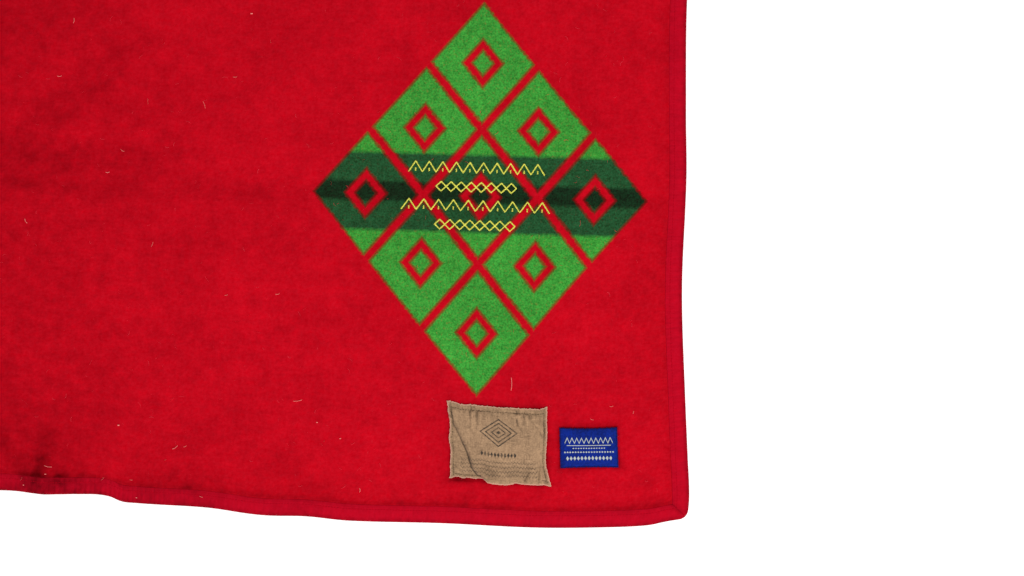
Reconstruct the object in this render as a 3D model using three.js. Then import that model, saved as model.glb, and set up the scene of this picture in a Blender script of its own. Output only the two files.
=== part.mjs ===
// A double-woven wool blanket that lies on a level surface. A wool tape is folded over its four edges
// and sewn down, and two cloth labels are sewn near one corner. Old storage creases cross the cloth,
// low swells and gathers lift it by a few millimetres, and its edges wander as heavy cloth does.
//
// Units are millimetres. +X runs across the width, +Y along the length and +Z up from the surface.
// Each piece is drawn flat first, as it was cut, and lay() then puts every point where it lies.
import * as THREE from "three";

// Driving dimensions
const BLANKET = { width: 1630, length: 2030, thick: 3, cornerRadius: 9 };
const TAPE = { width: 19, thick: 1.2, noseWall: 1.4, noseDepth: 1.8 };
const CARE_LABEL = { width: 111, height: 84, thick: 1, x: 610, y: -925, turn: -0.8, cells: [22, 14] };
const WOVEN_LABEL = { width: 63, height: 42, thick: 1, x: 708, y: -928, turn: 0, cells: [9, 6] };

// Between sewn faces, at the four mitres, and from the cloth's edge to the inside of the tape's fold
const SEWN_GAP = 0.3;
const MITRE_GAP = 0.25;
const EDGE_GAP = 0.4;

// The tape holds the cloth a little past its own inner edge, and the cloth then settles to the surface.
const HELD_PAST_TAPE = 0.5;
const SETTLE_WIDTH = 13.5;

// An edge's drift fades out this far into the cloth.
const DRIFT_REACH = 420;

// The larger label: the scallops of its gathered top edge, and its bottom edge, which sags past its
// seam from one place on, and the smaller label's long edges, which bow in.
const SCALLOP = { height: 0.9, length: 16.34 };
const SAG = { depth: 3.5, from: -26, over: 16 };
const BOW = 0.9;

// Cells of the mesh: the longest cell, and the cells in which the tape turns from square to its mitre
const GRID_STEP = 86;
const MITRE_STEPS = 4;
const ROUNDING = 1e-6;

const halfWidth = BLANKET.width / 2;
const halfLength = BLANKET.length / 2;
const clothInset = TAPE.noseWall + EDGE_GAP;
const tapeZone = TAPE.width + HELD_PAST_TAPE;
const settleZone = tapeZone + SETTLE_WIDTH;
const clothLift = TAPE.thick + SEWN_GAP;

// Folds of the cloth: each row is a ridge, or a trough where its heights are negative, from one point
// to the other, with the half width that it fades out over and its height at each end.
const FOLDS = [
  { name: "mid-width crease", from: [-8, -1100], to: [8, 1100], half: 24, heights: [4.5, 5.5] },
  { name: "first sixth, trough", from: [-900, -641], to: [900, -668], half: 17, heights: [-4, -2] },
  { name: "first sixth, far side", from: [-520, -600], to: [760, -622], half: 62, heights: [5.5, 2.5] },
  { name: "first sixth, near side", from: [-620, -694], to: [690, -704], half: 56, heights: [4.5, 1.5] },
  { name: "second sixth", from: [-900, -330], to: [900, -338], half: 22, heights: [3, 4.5] },
  { name: "third sixth", from: [-900, 5], to: [900, -5], half: 26, heights: [6, 5] },
  { name: "fourth sixth", from: [-900, 330], to: [900, 339], half: 22, heights: [4, 3] },
  { name: "fifth sixth", from: [-900, 672], to: [900, 664], half: 24, heights: [4.5, 6] },
  { name: "hem gather", from: [117, -1060], to: [115, -968], half: 32, heights: [11, 3.5] },
  { name: "hem gather, left", from: [46, -1060], to: [62, -965], half: 26, heights: [6.5, 2.5] },
  { name: "hem swell", from: [250, -985], to: [286, -962], half: 44, heights: [2.5, 3] },
  { name: "hem ripple", from: [384, -1060], to: [380, -985], half: 38, heights: [4.5, 1.5] },
  { name: "slanting ridge", from: [112, -604], to: [214, -520], half: 34, heights: [3.5, 5] },
  { name: "upper ridge", from: [-60, -478], to: [176, -516], half: 42, heights: [3.5, 2] },
  { name: "small ridge", from: [268, -450], to: [292, -512], half: 32, heights: [3.5, 2] },
  { name: "soft rise", from: [372, -545], to: [398, -500], half: 64, heights: [3.5, 3.5] },
  { name: "left field swell", from: [-520, -840], to: [-260, -800], half: 120, heights: [7, 4] },
  { name: "left hem wave", from: [-880, -330], to: [-690, -300], half: 78, heights: [9, 4] },
  { name: "left middle swell", from: [-610, 120], to: [-450, 240], half: 125, heights: [6, 5] },
  { name: "centre swell", from: [240, -190], to: [470, -150], half: 110, heights: [4, 6] },
  { name: "right middle swell", from: [330, 150], to: [560, 200], half: 120, heights: [6.5, 4] },
  { name: "right hem wave", from: [880, 120], to: [700, 96], half: 84, heights: [10, 5] },
  { name: "upper left swell", from: [-330, 500], to: [-120, 560], half: 115, heights: [5, 6] },
  { name: "upper right swell", from: [420, 470], to: [560, 560], half: 112, heights: [6, 5] },
  { name: "top hem wave, left", from: [-372, 1080], to: [-350, 900], half: 74, heights: [11, 4] },
  { name: "top hem wave, right", from: [446, 1080], to: [420, 930], half: 66, heights: [8, 3.5] },
  { name: "bottom hem wave", from: [-440, -1080], to: [-430, -960], half: 62, heights: [8, 3] },
  { name: "upper right hem wave", from: [880, 860], to: [760, 850], half: 60, heights: [7, 3] },
  { name: "upper left hem wave", from: [-880, 800], to: [-750, 822], half: 66, heights: [8, 4] },
];

// How far each edge wanders outwards: rows of place along the edge and drift.
const DRIFT = {
  bottom: [
    { at: -815, out: 4 }, { at: -560, out: -4 }, { at: -300, out: -10 }, { at: -60, out: -12 },
    { at: 66, out: -12.4 }, { at: 110, out: -8.4 }, { at: 165, out: -10.8 }, { at: 200, out: -4.4 },
    { at: 290, out: -0.8 }, { at: 353, out: 5.7 }, { at: 400, out: 5.5 }, { at: 450, out: 9 },
    { at: 551, out: 8.6 }, { at: 650, out: 10.2 }, { at: 727, out: 7.4 }, { at: 771, out: 3.8 },
    { at: 793, out: -1.3 }, { at: 815, out: -5.5 },
  ],
  right: [
    { at: -1015, out: 7.5 }, { at: -990, out: 8.7 }, { at: -945, out: 5.5 }, { at: -880, out: 0.8 },
    { at: -790, out: -5.2 }, { at: -740, out: -6.6 }, { at: -640, out: -5.4 }, { at: -560, out: -8.2 },
    { at: -440, out: -10.8 }, { at: -220, out: -5 }, { at: 20, out: 2 }, { at: 280, out: -3 },
    { at: 560, out: 5 }, { at: 800, out: -2 }, { at: 1015, out: 6 },
  ],
  top: [
    { at: -815, out: 5 }, { at: -560, out: -3 }, { at: -350, out: -9 }, { at: -120, out: 3 },
    { at: 160, out: 6 }, { at: 430, out: -6 }, { at: 640, out: 2 }, { at: 815, out: 6 },
  ],
  left: [
    { at: -1015, out: 5 }, { at: -760, out: 7 }, { at: -330, out: -8 }, { at: -60, out: 2 },
    { at: 300, out: 6 }, { at: 620, out: 1 }, { at: 820, out: -6 }, { at: 1015, out: 5 },
  ],
};

// Relief of the larger label, in its own flat coordinates: its pleat, its gathers and its loose hem.
const LABEL_FOLDS = [
  { name: "pleat", from: [-53, 32], to: [-24, -46], half: 7, heights: [1.2, 3] },
  { name: "gather, left", from: [-36, 38], to: [-34, 8], half: 6, heights: [1.6, 0.6] },
  { name: "gather, middle", from: [-20, 38], to: [-22, 14], half: 6, heights: [1.5, 0.5] },
  { name: "gather, right", from: [18, 38], to: [21, 6], half: 6, heights: [1.7, 0.6] },
  { name: "slanting crease", from: [28, 36], to: [52, 4], half: 7, heights: [1.2, 1.6] },
  { name: "loose hem", from: [-12, -46], to: [34, -46], half: 15, heights: [2.4, 1.8] },
  { name: "lower corner crease", from: [34, -40], to: [52, -16], half: 7, heights: [1.8, 1.2] },
];

// Creases and gathers that the mesh follows: the place of each, and its grid lines' distances from it.
const CREASE = [-24, -10, 0, 10, 24];
const CLOSE_LINES = {
  x: [
    { at: 0, offsets: CREASE },
    { at: 116, offsets: [-76, -52, -26, -12, 0, 12, 30] },
  ],
  y: [
    { at: -656, offsets: [-96, -46, -18, 0, 18, 60, 104] },
    { at: -334, offsets: CREASE },
    { at: 0, offsets: CREASE },
    { at: 334, offsets: CREASE },
    { at: 668, offsets: CREASE },
  ],
};

const clamp = (value, low, high) => Math.min(Math.max(value, low), high);
const mix = (from, to, share) => from + (to - from) * share;

function smoothStep(t) {
  const c = clamp(t, 0, 1);
  return c * c * (3 - 2 * c);
}

// Height of a table of folds at one point: the sum of its ridges, each fading out to nothing.
function foldHeight(folds, x, y) {
  let height = 0;
  for (const { from, to, half, heights } of folds) {
    const [runX, runY] = [to[0] - from[0], to[1] - from[1]];
    const along = clamp(((x - from[0]) * runX + (y - from[1]) * runY) / (runX ** 2 + runY ** 2), 0, 1);
    const away = Math.hypot(x - from[0] - along * runX, y - from[1] - along * runY) / half;
    if (away >= 1) continue;
    height += mix(heights[0], heights[1], along) * (1 - away ** 2) ** 2;
  }
  return height;
}

// A smooth curve through the rows of a drift table.
function driftAt(rows, at) {
  const slopeAt = (i) => {
    const [before, after] = [rows[Math.max(i - 1, 0)], rows[Math.min(i + 1, rows.length - 1)]];
    return (after.out - before.out) / (after.at - before.at);
  };
  const i = clamp(rows.findLastIndex((row) => row.at <= at), 0, rows.length - 2);
  const [low, high] = [rows[i], rows[i + 1]];
  const span = high.at - low.at;
  const t = clamp((at - low.at) / span, 0, 1);
  return (
    low.out * (1 + 2 * t) * (1 - t) ** 2 +
    slopeAt(i) * span * t * (1 - t) ** 2 +
    high.out * t ** 2 * (3 - 2 * t) -
    slopeAt(i + 1) * span * t ** 2 * (1 - t)
  );
}

// Rounds the blanket's square corners: inside a corner's own square, the square becomes a quarter disc.
function roundCorner(x, y) {
  const radius = BLANKET.cornerRadius;
  const p = Math.abs(x) - (halfWidth - radius);
  const q = Math.abs(y) - (halfLength - radius);
  if (p <= 0 || q <= 0) return [x, y];
  return [
    Math.sign(x) * (halfWidth - radius + p * Math.sqrt(1 - (q / radius) ** 2 / 2)),
    Math.sign(y) * (halfLength - radius + q * Math.sqrt(1 - (p / radius) ** 2 / 2)),
  ];
}

// Where a point of the flat blanket lies. Under the tape the cloth is stiff, so a fold that reaches
// the hem keeps its height across the whole width of the tape.
function lay(flatX, flatY, z) {
  const [x, y] = roundCorner(flatX, flatY);
  const share = (distance) => smoothStep(1 - distance / DRIFT_REACH);
  const height = foldHeight(
    FOLDS,
    clamp(flatX, tapeZone - halfWidth, halfWidth - tapeZone),
    clamp(flatY, tapeZone - halfLength, halfLength - tapeZone),
  );
  return [
    x + driftAt(DRIFT.right, y) * share(halfWidth - x) - driftAt(DRIFT.left, y) * share(halfWidth + x),
    y + driftAt(DRIFT.top, x) * share(halfLength - y) - driftAt(DRIFT.bottom, x) * share(halfLength + y),
    z + Math.max(height, 0),
  ];
}

// Moves each vertex of a geometry to where place() says, and then to where the cloth lies.
function laid(geometry, place) {
  const points = geometry.getAttribute("position");
  const p = new THREE.Vector3();
  for (let i = 0; i < points.count; i += 1) {
    p.fromBufferAttribute(points, i);
    points.setXYZ(i, ...lay(...place(p)));
  }
  geometry.computeVertexNormals();
  return geometry;
}

function piece(name, geometry, color, roughness) {
  const mesh = new THREE.Mesh(geometry, new THREE.MeshStandardMaterial({ color, roughness, metalness: 0 }));
  mesh.name = name;
  return mesh;
}

// Grid lines across the cloth: close together at its edges and at each crease, and elsewhere no
// further apart than the step.
function gridLines(half, closeLines) {
  const edges = [clothInset, BLANKET.cornerRadius, tapeZone, settleZone];
  const marks = edges.flatMap((inset) => [inset - half, half - inset]);
  for (const { at, offsets } of closeLines) marks.push(...offsets.map((offset) => at + offset));
  marks.sort((a, b) => a - b);
  const lines = [marks[0]];
  for (let i = 1; i < marks.length; i += 1) {
    const cells = Math.ceil((marks[i] - marks[i - 1]) / GRID_STEP);
    for (let k = 1; k <= cells; k += 1) {
      lines.push(mix(marks[i - 1], marks[i], k / cells));
    }
  }
  return lines;
}

const xLines = gridLines(halfWidth, CLOSE_LINES.x);
const yLines = gridLines(halfLength, CLOSE_LINES.y);

// The cloth is one sheet. Beside the tape it is a tape's thickness up, and it settles to the surface.
function cloth() {
  const [columns, rows] = [xLines.length - 1, yLines.length - 1];
  const sheet = new THREE.BoxGeometry(columns, rows, BLANKET.thick, columns, rows, 1);
  return laid(sheet, (p) => {
    const x = xLines[Math.round(p.x + columns / 2)];
    const y = yLines[Math.round(p.y + rows / 2)];
    const fromEdge = Math.min(halfWidth - Math.abs(x), halfLength - Math.abs(y));
    const settled = smoothStep((fromEdge - tapeZone) / (settleZone - tapeZone));
    return [x, y, p.z + BLANKET.thick / 2 + clothLift * (1 - settled)];
  });
}

// The tape's section: across is the distance in from the blanket's edge, and up is from the surface.
function tapeSection() {
  const top = BLANKET.thick + 2 * (TAPE.thick + SEWN_GAP);
  const section = new THREE.Shape();
  section.moveTo(TAPE.width, 0);
  section.lineTo(TAPE.width, TAPE.thick);
  section.lineTo(TAPE.noseWall, TAPE.thick);
  section.lineTo(TAPE.noseWall, top - TAPE.thick);
  section.lineTo(TAPE.width, top - TAPE.thick);
  section.lineTo(TAPE.width, top);
  section.lineTo(TAPE.noseDepth, top);
  section.lineTo(0, top / 2);
  section.lineTo(TAPE.noseDepth, 0);
  return section;
}

// One side of the binding. Its stations are the cloth's own grid lines, so that cloth and tape bend
// alike, and its last steps at each end slant over to the mitre.
function tapeSide(lines, half, at) {
  const straight = lines.filter((s) => Math.abs(s) <= half - tapeZone + ROUNDING);
  const last = straight.length - 1;
  const direction = Math.sign(straight[last] - straight[0]);
  const steps = last + 2 * MITRE_STEPS;
  const strip = new THREE.ExtrudeGeometry(tapeSection(), { steps, depth: steps, bevelEnabled: false });
  return laid(strip, ({ x: across, y: up, z: index }) => {
    const k = Math.round(index) - MITRE_STEPS;
    const square = straight[clamp(k, 0, last)];
    const mitre = Math.sign(k) * direction * (half - across - MITRE_GAP);
    const slant = Math.max(-k, k - last, 0) / MITRE_STEPS;
    return [...at(mix(square, mitre, slant), across), up];
  });
}

// A sewn label: a thin cloth with its own relief, a little above the blanket's upper face.
function label(size, relief, outline) {
  const [columns, rows] = size.cells;
  const sheet = new THREE.BoxGeometry(size.width, size.height, size.thick, columns, rows, 1);
  const turn = THREE.MathUtils.degToRad(size.turn);
  return laid(sheet, (p) => {
    const [x, y] = outline(p.x, p.y);
    return [
      size.x + x * Math.cos(turn) - y * Math.sin(turn),
      size.y + x * Math.sin(turn) + y * Math.cos(turn),
      BLANKET.thick + SEWN_GAP + p.z + size.thick / 2 + relief(p.x, p.y),
    ];
  });
}

function careLabel() {
  const relief = (x, y) => foldHeight(LABEL_FOLDS, x, y);
  const outline = (x, y) => {
    const toTop = smoothStep((y / CARE_LABEL.height) * 2);
    const toBottom = smoothStep((-y / CARE_LABEL.height) * 2);
    const scallop = SCALLOP.height * Math.sin((2 * Math.PI * x) / SCALLOP.length) * toTop ** 4;
    const sag = SAG.depth * smoothStep((x - SAG.from) / SAG.over) * toBottom ** 2;
    return [x, y + scallop - sag];
  };
  return label(CARE_LABEL, relief, outline);
}

function wovenLabel() {
  const flat = () => 0;
  const outline = (x, y) => {
    const bow = BOW * (1 - ((2 * x) / WOVEN_LABEL.width) ** 2);
    return [x, y * (1 - (2 * bow) / WOVEN_LABEL.height)];
  };
  return label(WOVEN_LABEL, flat, outline);
}

// The four tapes run round the blanket anticlockwise, so that each is built with its faces outwards.
function binding() {
  const [xBack, yBack] = [[...xLines].reverse(), [...yLines].reverse()];
  const sides = {
    binding_bottom: tapeSide(xLines, halfWidth, (s, inset) => [s, inset - halfLength]),
    binding_right: tapeSide(yLines, halfLength, (s, inset) => [halfWidth - inset, s]),
    binding_top: tapeSide(xBack, halfWidth, (s, inset) => [s, halfLength - inset]),
    binding_left: tapeSide(yBack, halfLength, (s, inset) => [inset - halfWidth, s]),
  };
  const tapes = new THREE.Group();
  tapes.add(...Object.entries(sides).map(([name, tape]) => piece(name, tape, 0xb80c22, 0.95)));
  return tapes;
}

const blanket = new THREE.Group();
blanket.add(piece("cloth", cloth(), 0xbf0a1c, 1));
blanket.add(binding());
blanket.add(piece("label_care", careLabel(), 0x9c7e64, 0.9));
blanket.add(piece("label_woven", wovenLabel(), 0x152e88, 0.7));

// The origin is under the middle of the blanket, on the surface.
const box = new THREE.Box3().setFromObject(blanket);
const middle = box.getCenter(new THREE.Vector3());
blanket.position.set(-middle.x, -middle.y, -box.min.z);

export default blanket;
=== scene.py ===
# %% [markdown]
# A wool blanket, laid flat and seen from above at one corner.
#
# The real one is woven double from thick wool, felted and brushed until its surface is a short,
# cloudy nap. A motif is woven into the corner, a wool tape is folded over the four edges and sewn
# down, rows of yellow ornament are embroidered on the motif, and two cloth labels are sewn on below.
#
# The frame holds the plain, coarse solids of every piece. This script remakes each of them as a fine
# sheet that lies in the same place, and then adds the sewing, the finishes, the lights and the camera.

# %% Load the frame
import math

import bpy
import numpy as np
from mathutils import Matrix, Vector


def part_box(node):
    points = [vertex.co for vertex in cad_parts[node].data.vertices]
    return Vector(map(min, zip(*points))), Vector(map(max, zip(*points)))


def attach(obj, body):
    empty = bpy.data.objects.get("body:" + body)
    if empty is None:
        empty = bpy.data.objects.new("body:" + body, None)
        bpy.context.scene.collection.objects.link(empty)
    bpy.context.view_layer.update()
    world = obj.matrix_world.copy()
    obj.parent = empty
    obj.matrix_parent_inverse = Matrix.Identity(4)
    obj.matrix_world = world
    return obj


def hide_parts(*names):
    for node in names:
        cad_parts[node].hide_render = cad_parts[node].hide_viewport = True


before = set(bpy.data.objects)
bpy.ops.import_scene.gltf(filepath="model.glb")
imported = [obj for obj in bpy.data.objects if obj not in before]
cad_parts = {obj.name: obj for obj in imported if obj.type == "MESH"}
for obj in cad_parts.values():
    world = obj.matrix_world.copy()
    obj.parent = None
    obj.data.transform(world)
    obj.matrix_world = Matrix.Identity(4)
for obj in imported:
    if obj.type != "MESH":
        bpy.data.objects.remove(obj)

scene = bpy.context.scene
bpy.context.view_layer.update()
print("solids:", ", ".join(sorted(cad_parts)))

# %% [markdown]
# A weaver works in flat cloth, so every piece here is drawn flat first, in millimetres from the middle
# of the blanket, and one function then says where a point of the flat cloth lies. The pattern, the
# sewing and the shape all use the same flat places, and so they stay together whatever the folds do.

# %% Sizes of the blanket, in millimetres
MM = 0.001
BLANKET = {"width": 1630, "length": 2030, "thick": 3, "corner_radius": 9}
TAPE = {"width": 19, "thick": 1.2, "nose": 3, "nose_wall": 1.4}
CARE_LABEL = {"width": 111, "height": 84, "x": 610, "y": -925, "turn": -0.8}
WOVEN_LABEL = {"width": 63, "height": 42, "x": 708, "y": -928, "turn": 0}
SEWN_GAP = 0.3
MITRE_GAP = 0.18
EDGE_GAP = 0.4
HELD_PAST_TAPE = 0.5
SETTLE_WIDTH = 13.5
DRIFT_REACH = 420

half_width = BLANKET["width"] / 2
half_length = BLANKET["length"] / 2
cloth_inset = TAPE["nose_wall"] + EDGE_GAP
tape_zone = TAPE["width"] + HELD_PAST_TAPE
settle_zone = tape_zone + SETTLE_WIDTH
cloth_lift = TAPE["thick"] + SEWN_GAP
print(f"blanket: {BLANKET['width']} by {BLANKET['length']} mm, bound with {TAPE['width']} mm tape")

# %% [markdown]
# Folds are rows of a table: a ridge runs from one point to another, fades out over its half width and
# has a height at each end. Years folded in sixths left the long creases, and the hem gathers where
# its seam pulls. A negative height is a trough that only lowers a ridge beside it.

# %% Folds of the cloth, as name, from, to, half width, heights
FOLDS = [
    ("mid-width crease", (-8, -1100), (8, 1100), 24, (4.5, 5.5)),
    ("first sixth, trough", (-900, -641), (900, -668), 17, (-4, -2)),
    ("first sixth, far side", (-520, -600), (760, -622), 62, (5.5, 2.5)),
    ("first sixth, near side", (-620, -694), (690, -704), 56, (4.5, 1.5)),
    ("second sixth", (-900, -330), (900, -338), 22, (3, 4.5)),
    ("third sixth", (-900, 5), (900, -5), 26, (6, 5)),
    ("fourth sixth", (-900, 330), (900, 339), 22, (4, 3)),
    ("fifth sixth", (-900, 672), (900, 664), 24, (4.5, 6)),
    ("hem gather", (117, -1060), (115, -968), 32, (11, 3.5)),
    ("hem gather, left", (46, -1060), (62, -965), 26, (6.5, 2.5)),
    ("hem swell", (250, -985), (286, -962), 44, (2.5, 3)),
    ("hem ripple", (384, -1060), (380, -985), 38, (4.5, 1.5)),
    ("slanting ridge", (112, -604), (214, -520), 34, (3.5, 5)),
    ("upper ridge", (-60, -478), (176, -516), 42, (3.5, 2)),
    ("small ridge", (268, -450), (292, -512), 32, (3.5, 2)),
    ("soft rise", (372, -545), (398, -500), 64, (3.5, 3.5)),
    ("left field swell", (-520, -840), (-260, -800), 120, (7, 4)),
    ("left hem wave", (-880, -330), (-690, -300), 78, (9, 4)),
    ("left middle swell", (-610, 120), (-450, 240), 125, (6, 5)),
    ("centre swell", (240, -190), (470, -150), 110, (4, 6)),
    ("right middle swell", (330, 150), (560, 200), 120, (6.5, 4)),
    ("right hem wave", (880, 120), (700, 96), 84, (10, 5)),
    ("upper left swell", (-330, 500), (-120, 560), 115, (5, 6)),
    ("upper right swell", (420, 470), (560, 560), 112, (6, 5)),
    ("top hem wave, left", (-372, 1080), (-350, 900), 74, (11, 4)),
    ("top hem wave, right", (446, 1080), (420, 930), 66, (8, 3.5)),
    ("bottom hem wave", (-440, -1080), (-430, -960), 62, (8, 3)),
    ("upper right hem wave", (880, 860), (760, 850), 60, (7, 3)),
    ("upper left hem wave", (-880, 800), (-750, 822), 66, (8, 4)),
]

# Sharp creases and slacks too fine for the solids: the same columns
CREASES = [
    ("first sixth, crest", (60, -668), (330, -676), 24, (1.2, 1.0)),
    ("first sixth, pressed", (-300, -604), (560, -619), 62, (-4.6, -2.4)),
    ("first sixth, trough filled", (-900, -641), (130, -645), 17, (3.2, 1.7)),
    ("diagonal crease", (118, -612), (186, -546), 12, (1.2, 0.7)),
    ("hem gather, crest", (117, -1050), (117, -946), 13, (3.2, 1.6)),
    ("hem gather, right", (143, -1050), (136, -976), 12, (2.4, 0.6)),
    ("hem gather, small", (262, -956), (292, -986), 9, (1.4, 1.0)),
    ("hem ripple, left", (330, -1050), (336, -978), 26, (2.2, 0.4)),
]
print(len(FOLDS), "folds and", len(CREASES), "creases")

# %% Height of the folds


def smooth_step(t):
    """Rises from 0 to 1 with level ends."""
    t = np.clip(t, 0, 1)
    return t * t * (3 - 2 * t)


def fold_height(folds, x, y):
    """Height of a table of folds: the sum of its ridges, each fading out to nothing."""
    height = np.zeros(np.broadcast(x, y).shape)
    for _, start, end, half, heights in folds:
        run = np.subtract(end, start)
        along = np.clip(((x - start[0]) * run[0] + (y - start[1]) * run[1]) / (run @ run), 0, 1)
        away = np.hypot(x - start[0] - along * run[0], y - start[1] - along * run[1]) / half
        ridge = heights[0] + along * (heights[1] - heights[0])
        height += np.where(away < 1, ridge * (1 - away**2) ** 2, 0)
    return height


# %% [markdown]
# Heavy cloth never lies in a straight line. Each edge wanders by a few millimetres, and the wandering
# fades out towards the middle. The rows give a place along the edge and how far out it drifts there.

# %% Drift of the edges, as place along the edge and drift outwards
DRIFT = {
    "bottom": [
        (-815, 4), (-560, -4), (-300, -10), (-60, -12), (66, -12.8), (110, -10.6), (150, -10.8),
        (172, -11.2), (187, -9.2), (198, -4.9), (206, -3.4), (290, -0.8), (353, 5.7), (400, 5.5),
        (450, 9), (551, 8.6), (650, 10.2), (727, 7.4), (771, 3.8), (793, -1.3), (815, -5.5),
    ],
    "right": [
        (-1015, 7.5), (-990, 8.7), (-945, 5.5), (-880, 0.8), (-790, -5.2), (-740, -6.6),
        (-640, -5.4), (-560, -8.2), (-440, -10.8), (-220, -5), (20, 2), (280, -3), (560, 5),
        (800, -2), (1015, 6),
    ],
    "top": [
        (-815, 5), (-560, -3), (-350, -9), (-120, 3), (160, 6), (430, -6), (640, 2), (815, 6),
    ],
    "left": [
        (-1015, 5), (-760, 7), (-330, -8), (-60, 2), (300, 6), (620, 1), (820, -6), (1015, 5),
    ],
}
print("places along each edge:", {edge: len(rows) for edge, rows in DRIFT.items()})

# %% Lay the flat cloth


def drift_at(rows, at):
    """A smooth curve through the rows of a drift table."""
    places, outs = np.transpose(rows).astype(float)
    slopes = np.gradient(outs)
    slopes[1:-1] = (outs[2:] - outs[:-2]) / (places[2:] - places[:-2])
    slopes[[0, -1]] = np.diff(outs)[[0, -1]] / np.diff(places)[[0, -1]]
    i = np.clip(np.searchsorted(places, at, "right") - 1, 0, len(rows) - 2)
    span = places[i + 1] - places[i]
    t = np.clip((at - places[i]) / span, 0, 1)
    start = outs[i] * (1 + 2 * t) * (1 - t) ** 2 + slopes[i] * span * t * (1 - t) ** 2
    end = outs[i + 1] * t**2 * (3 - 2 * t) - slopes[i + 1] * span * t**2 * (1 - t)
    return start + end


def round_corner(x, y):
    """Inside a corner's own square, the square becomes a quarter disc."""
    radius = BLANKET["corner_radius"]
    p = np.maximum(np.abs(x) - (half_width - radius), 0) / radius
    q = np.maximum(np.abs(y) - (half_length - radius), 0) / radius
    inside = (p > 0) & (q > 0)
    moved_x = np.sign(x) * (half_width - radius + radius * p * np.sqrt(1 - q**2 / 2))
    moved_y = np.sign(y) * (half_length - radius + radius * q * np.sqrt(1 - p**2 / 2))
    return np.where(inside, moved_x, x), np.where(inside, moved_y, y)


def drift_left(distance):
    """How much of an edge's drift is left at a distance from that edge."""
    return smooth_step(1 - distance / DRIFT_REACH)


def lay(flat_x, flat_y, up):
    """Where points of the flat blanket lie. The tape holds the hem stiff across its own width."""
    x, y = round_corner(flat_x, flat_y)
    out_x = drift_at(DRIFT["right"], y) * drift_left(half_width - x)
    out_x = out_x - drift_at(DRIFT["left"], y) * drift_left(half_width + x)
    out_y = drift_at(DRIFT["top"], x) * drift_left(half_length - y)
    out_y = out_y - drift_at(DRIFT["bottom"], x) * drift_left(half_length + y)
    height = fold_height(
        FOLDS + CREASES,
        np.clip(flat_x, tape_zone - half_width, half_width - tape_zone),
        np.clip(flat_y, tape_zone - half_length, half_length - tape_zone),
    )
    return np.stack([x + out_x, y + out_y, up + np.maximum(height, 0)], axis=-1)


print("the middle of the flat blanket lies at", lay(0.0, 0.0, 0).round(1))

# %% [markdown]
# The frame's origin is under the middle of the laid blanket, which the drifting edges put a little off
# the middle of the flat one. The small label's outline is the same in the frame and here, so the
# distance between the two gives the shift.

# %% Find the frame's origin
BOW = 0.9
OUTLINE_LINES = (10, 7)


def on_label(label, x, y):
    """A point of a label, as a point of the flat blanket."""
    turn = math.radians(label["turn"])
    across = label["x"] + x * math.cos(turn) - y * math.sin(turn)
    along = label["y"] + x * math.sin(turn) + y * math.cos(turn)
    return across, along


def woven_outline(x, y):
    """The small label's long edges bow in between its corners."""
    bow = BOW * (1 - (2 * x / WOVEN_LABEL["width"]) ** 2)
    return x, y * (1 - 2 * bow / WOVEN_LABEL["height"])


def grid(x_lines, y_lines):
    """Every crossing of two sets of lines, as two arrays."""
    return np.meshgrid(x_lines, y_lines, indexing="ij")


label_x = np.linspace(-0.5, 0.5, OUTLINE_LINES[0]) * WOVEN_LABEL["width"]
label_y = np.linspace(-0.5, 0.5, OUTLINE_LINES[1]) * WOVEN_LABEL["height"]
label_points = lay(*on_label(WOVEN_LABEL, *woven_outline(*grid(label_x, label_y))), 0)
low, high = (np.array(corner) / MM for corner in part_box("label_woven"))
middle = (label_points.min((0, 1)) + label_points.max((0, 1))) / 2
ORIGIN = middle[:2] - (low + high)[:2] / 2


def in_frame(laid):
    """Laid points in millimetres, as points of the frame in metres."""
    return np.subtract(laid, [*ORIGIN, 0]) * MM


print("origin of the frame in the flat blanket:", ORIGIN.round(3))

# %% [markdown]
# The photograph looks straight down on the corner, turned by not quite two degrees. The camera goes
# over that corner, at the height at which its lens takes in a little over a metre of cloth. A large
# soft key light comes in low from beyond the near right corner, because only raking light shows folds
# a few millimetres high: the slopes that face the labels' hem are bright in the photograph and the
# slopes that face away are dark. The bright world keeps the shadows open.

# %% Camera and lights
VIEW = {"x": 621.6, "y": -762.5, "width": 1126.4, "turn": 1.8, "lens": 50, "sensor": 36}
KEY = {"from": (1.9, -3.4, 2.5), "at": (0.5, -0.8, 0), "size": 1.8, "power": 104}
WORLD_STRENGTH = 0.71


def add_camera():
    data = bpy.data.cameras.new("camera")
    data.lens = VIEW["lens"]
    data.sensor_width = VIEW["sensor"]
    camera = bpy.data.objects.new("camera", data)
    distance = VIEW["width"] * VIEW["lens"] / VIEW["sensor"] + BLANKET["thick"]
    camera.location = in_frame((VIEW["x"], VIEW["y"], distance))
    camera.rotation_euler = [0, 0, math.radians(VIEW["turn"])]
    scene.collection.objects.link(camera)
    scene.camera = camera


def add_key_light():
    data = bpy.data.lights.new("key", "AREA")
    data.energy = KEY["power"]
    data.size = KEY["size"]
    light = bpy.data.objects.new("key", data)
    light.location = KEY["from"]
    aim = Vector(KEY["at"]) - Vector(KEY["from"])
    light.rotation_euler = aim.to_track_quat("-Z", "Y").to_euler()
    light.visible_camera = False
    scene.collection.objects.link(light)


def add_world():
    world = bpy.data.worlds.new("studio")
    world.use_nodes = True
    background = world.node_tree.nodes["Background"]
    background.inputs["Color"].default_value = (1, 1, 1, 1)
    background.inputs["Strength"].default_value = WORLD_STRENGTH
    scene.world = world


add_camera()
add_key_light()
add_world()
scene.view_settings.view_transform = "Standard"
print("camera at", [round(value, 3) for value in scene.camera.location])

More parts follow.
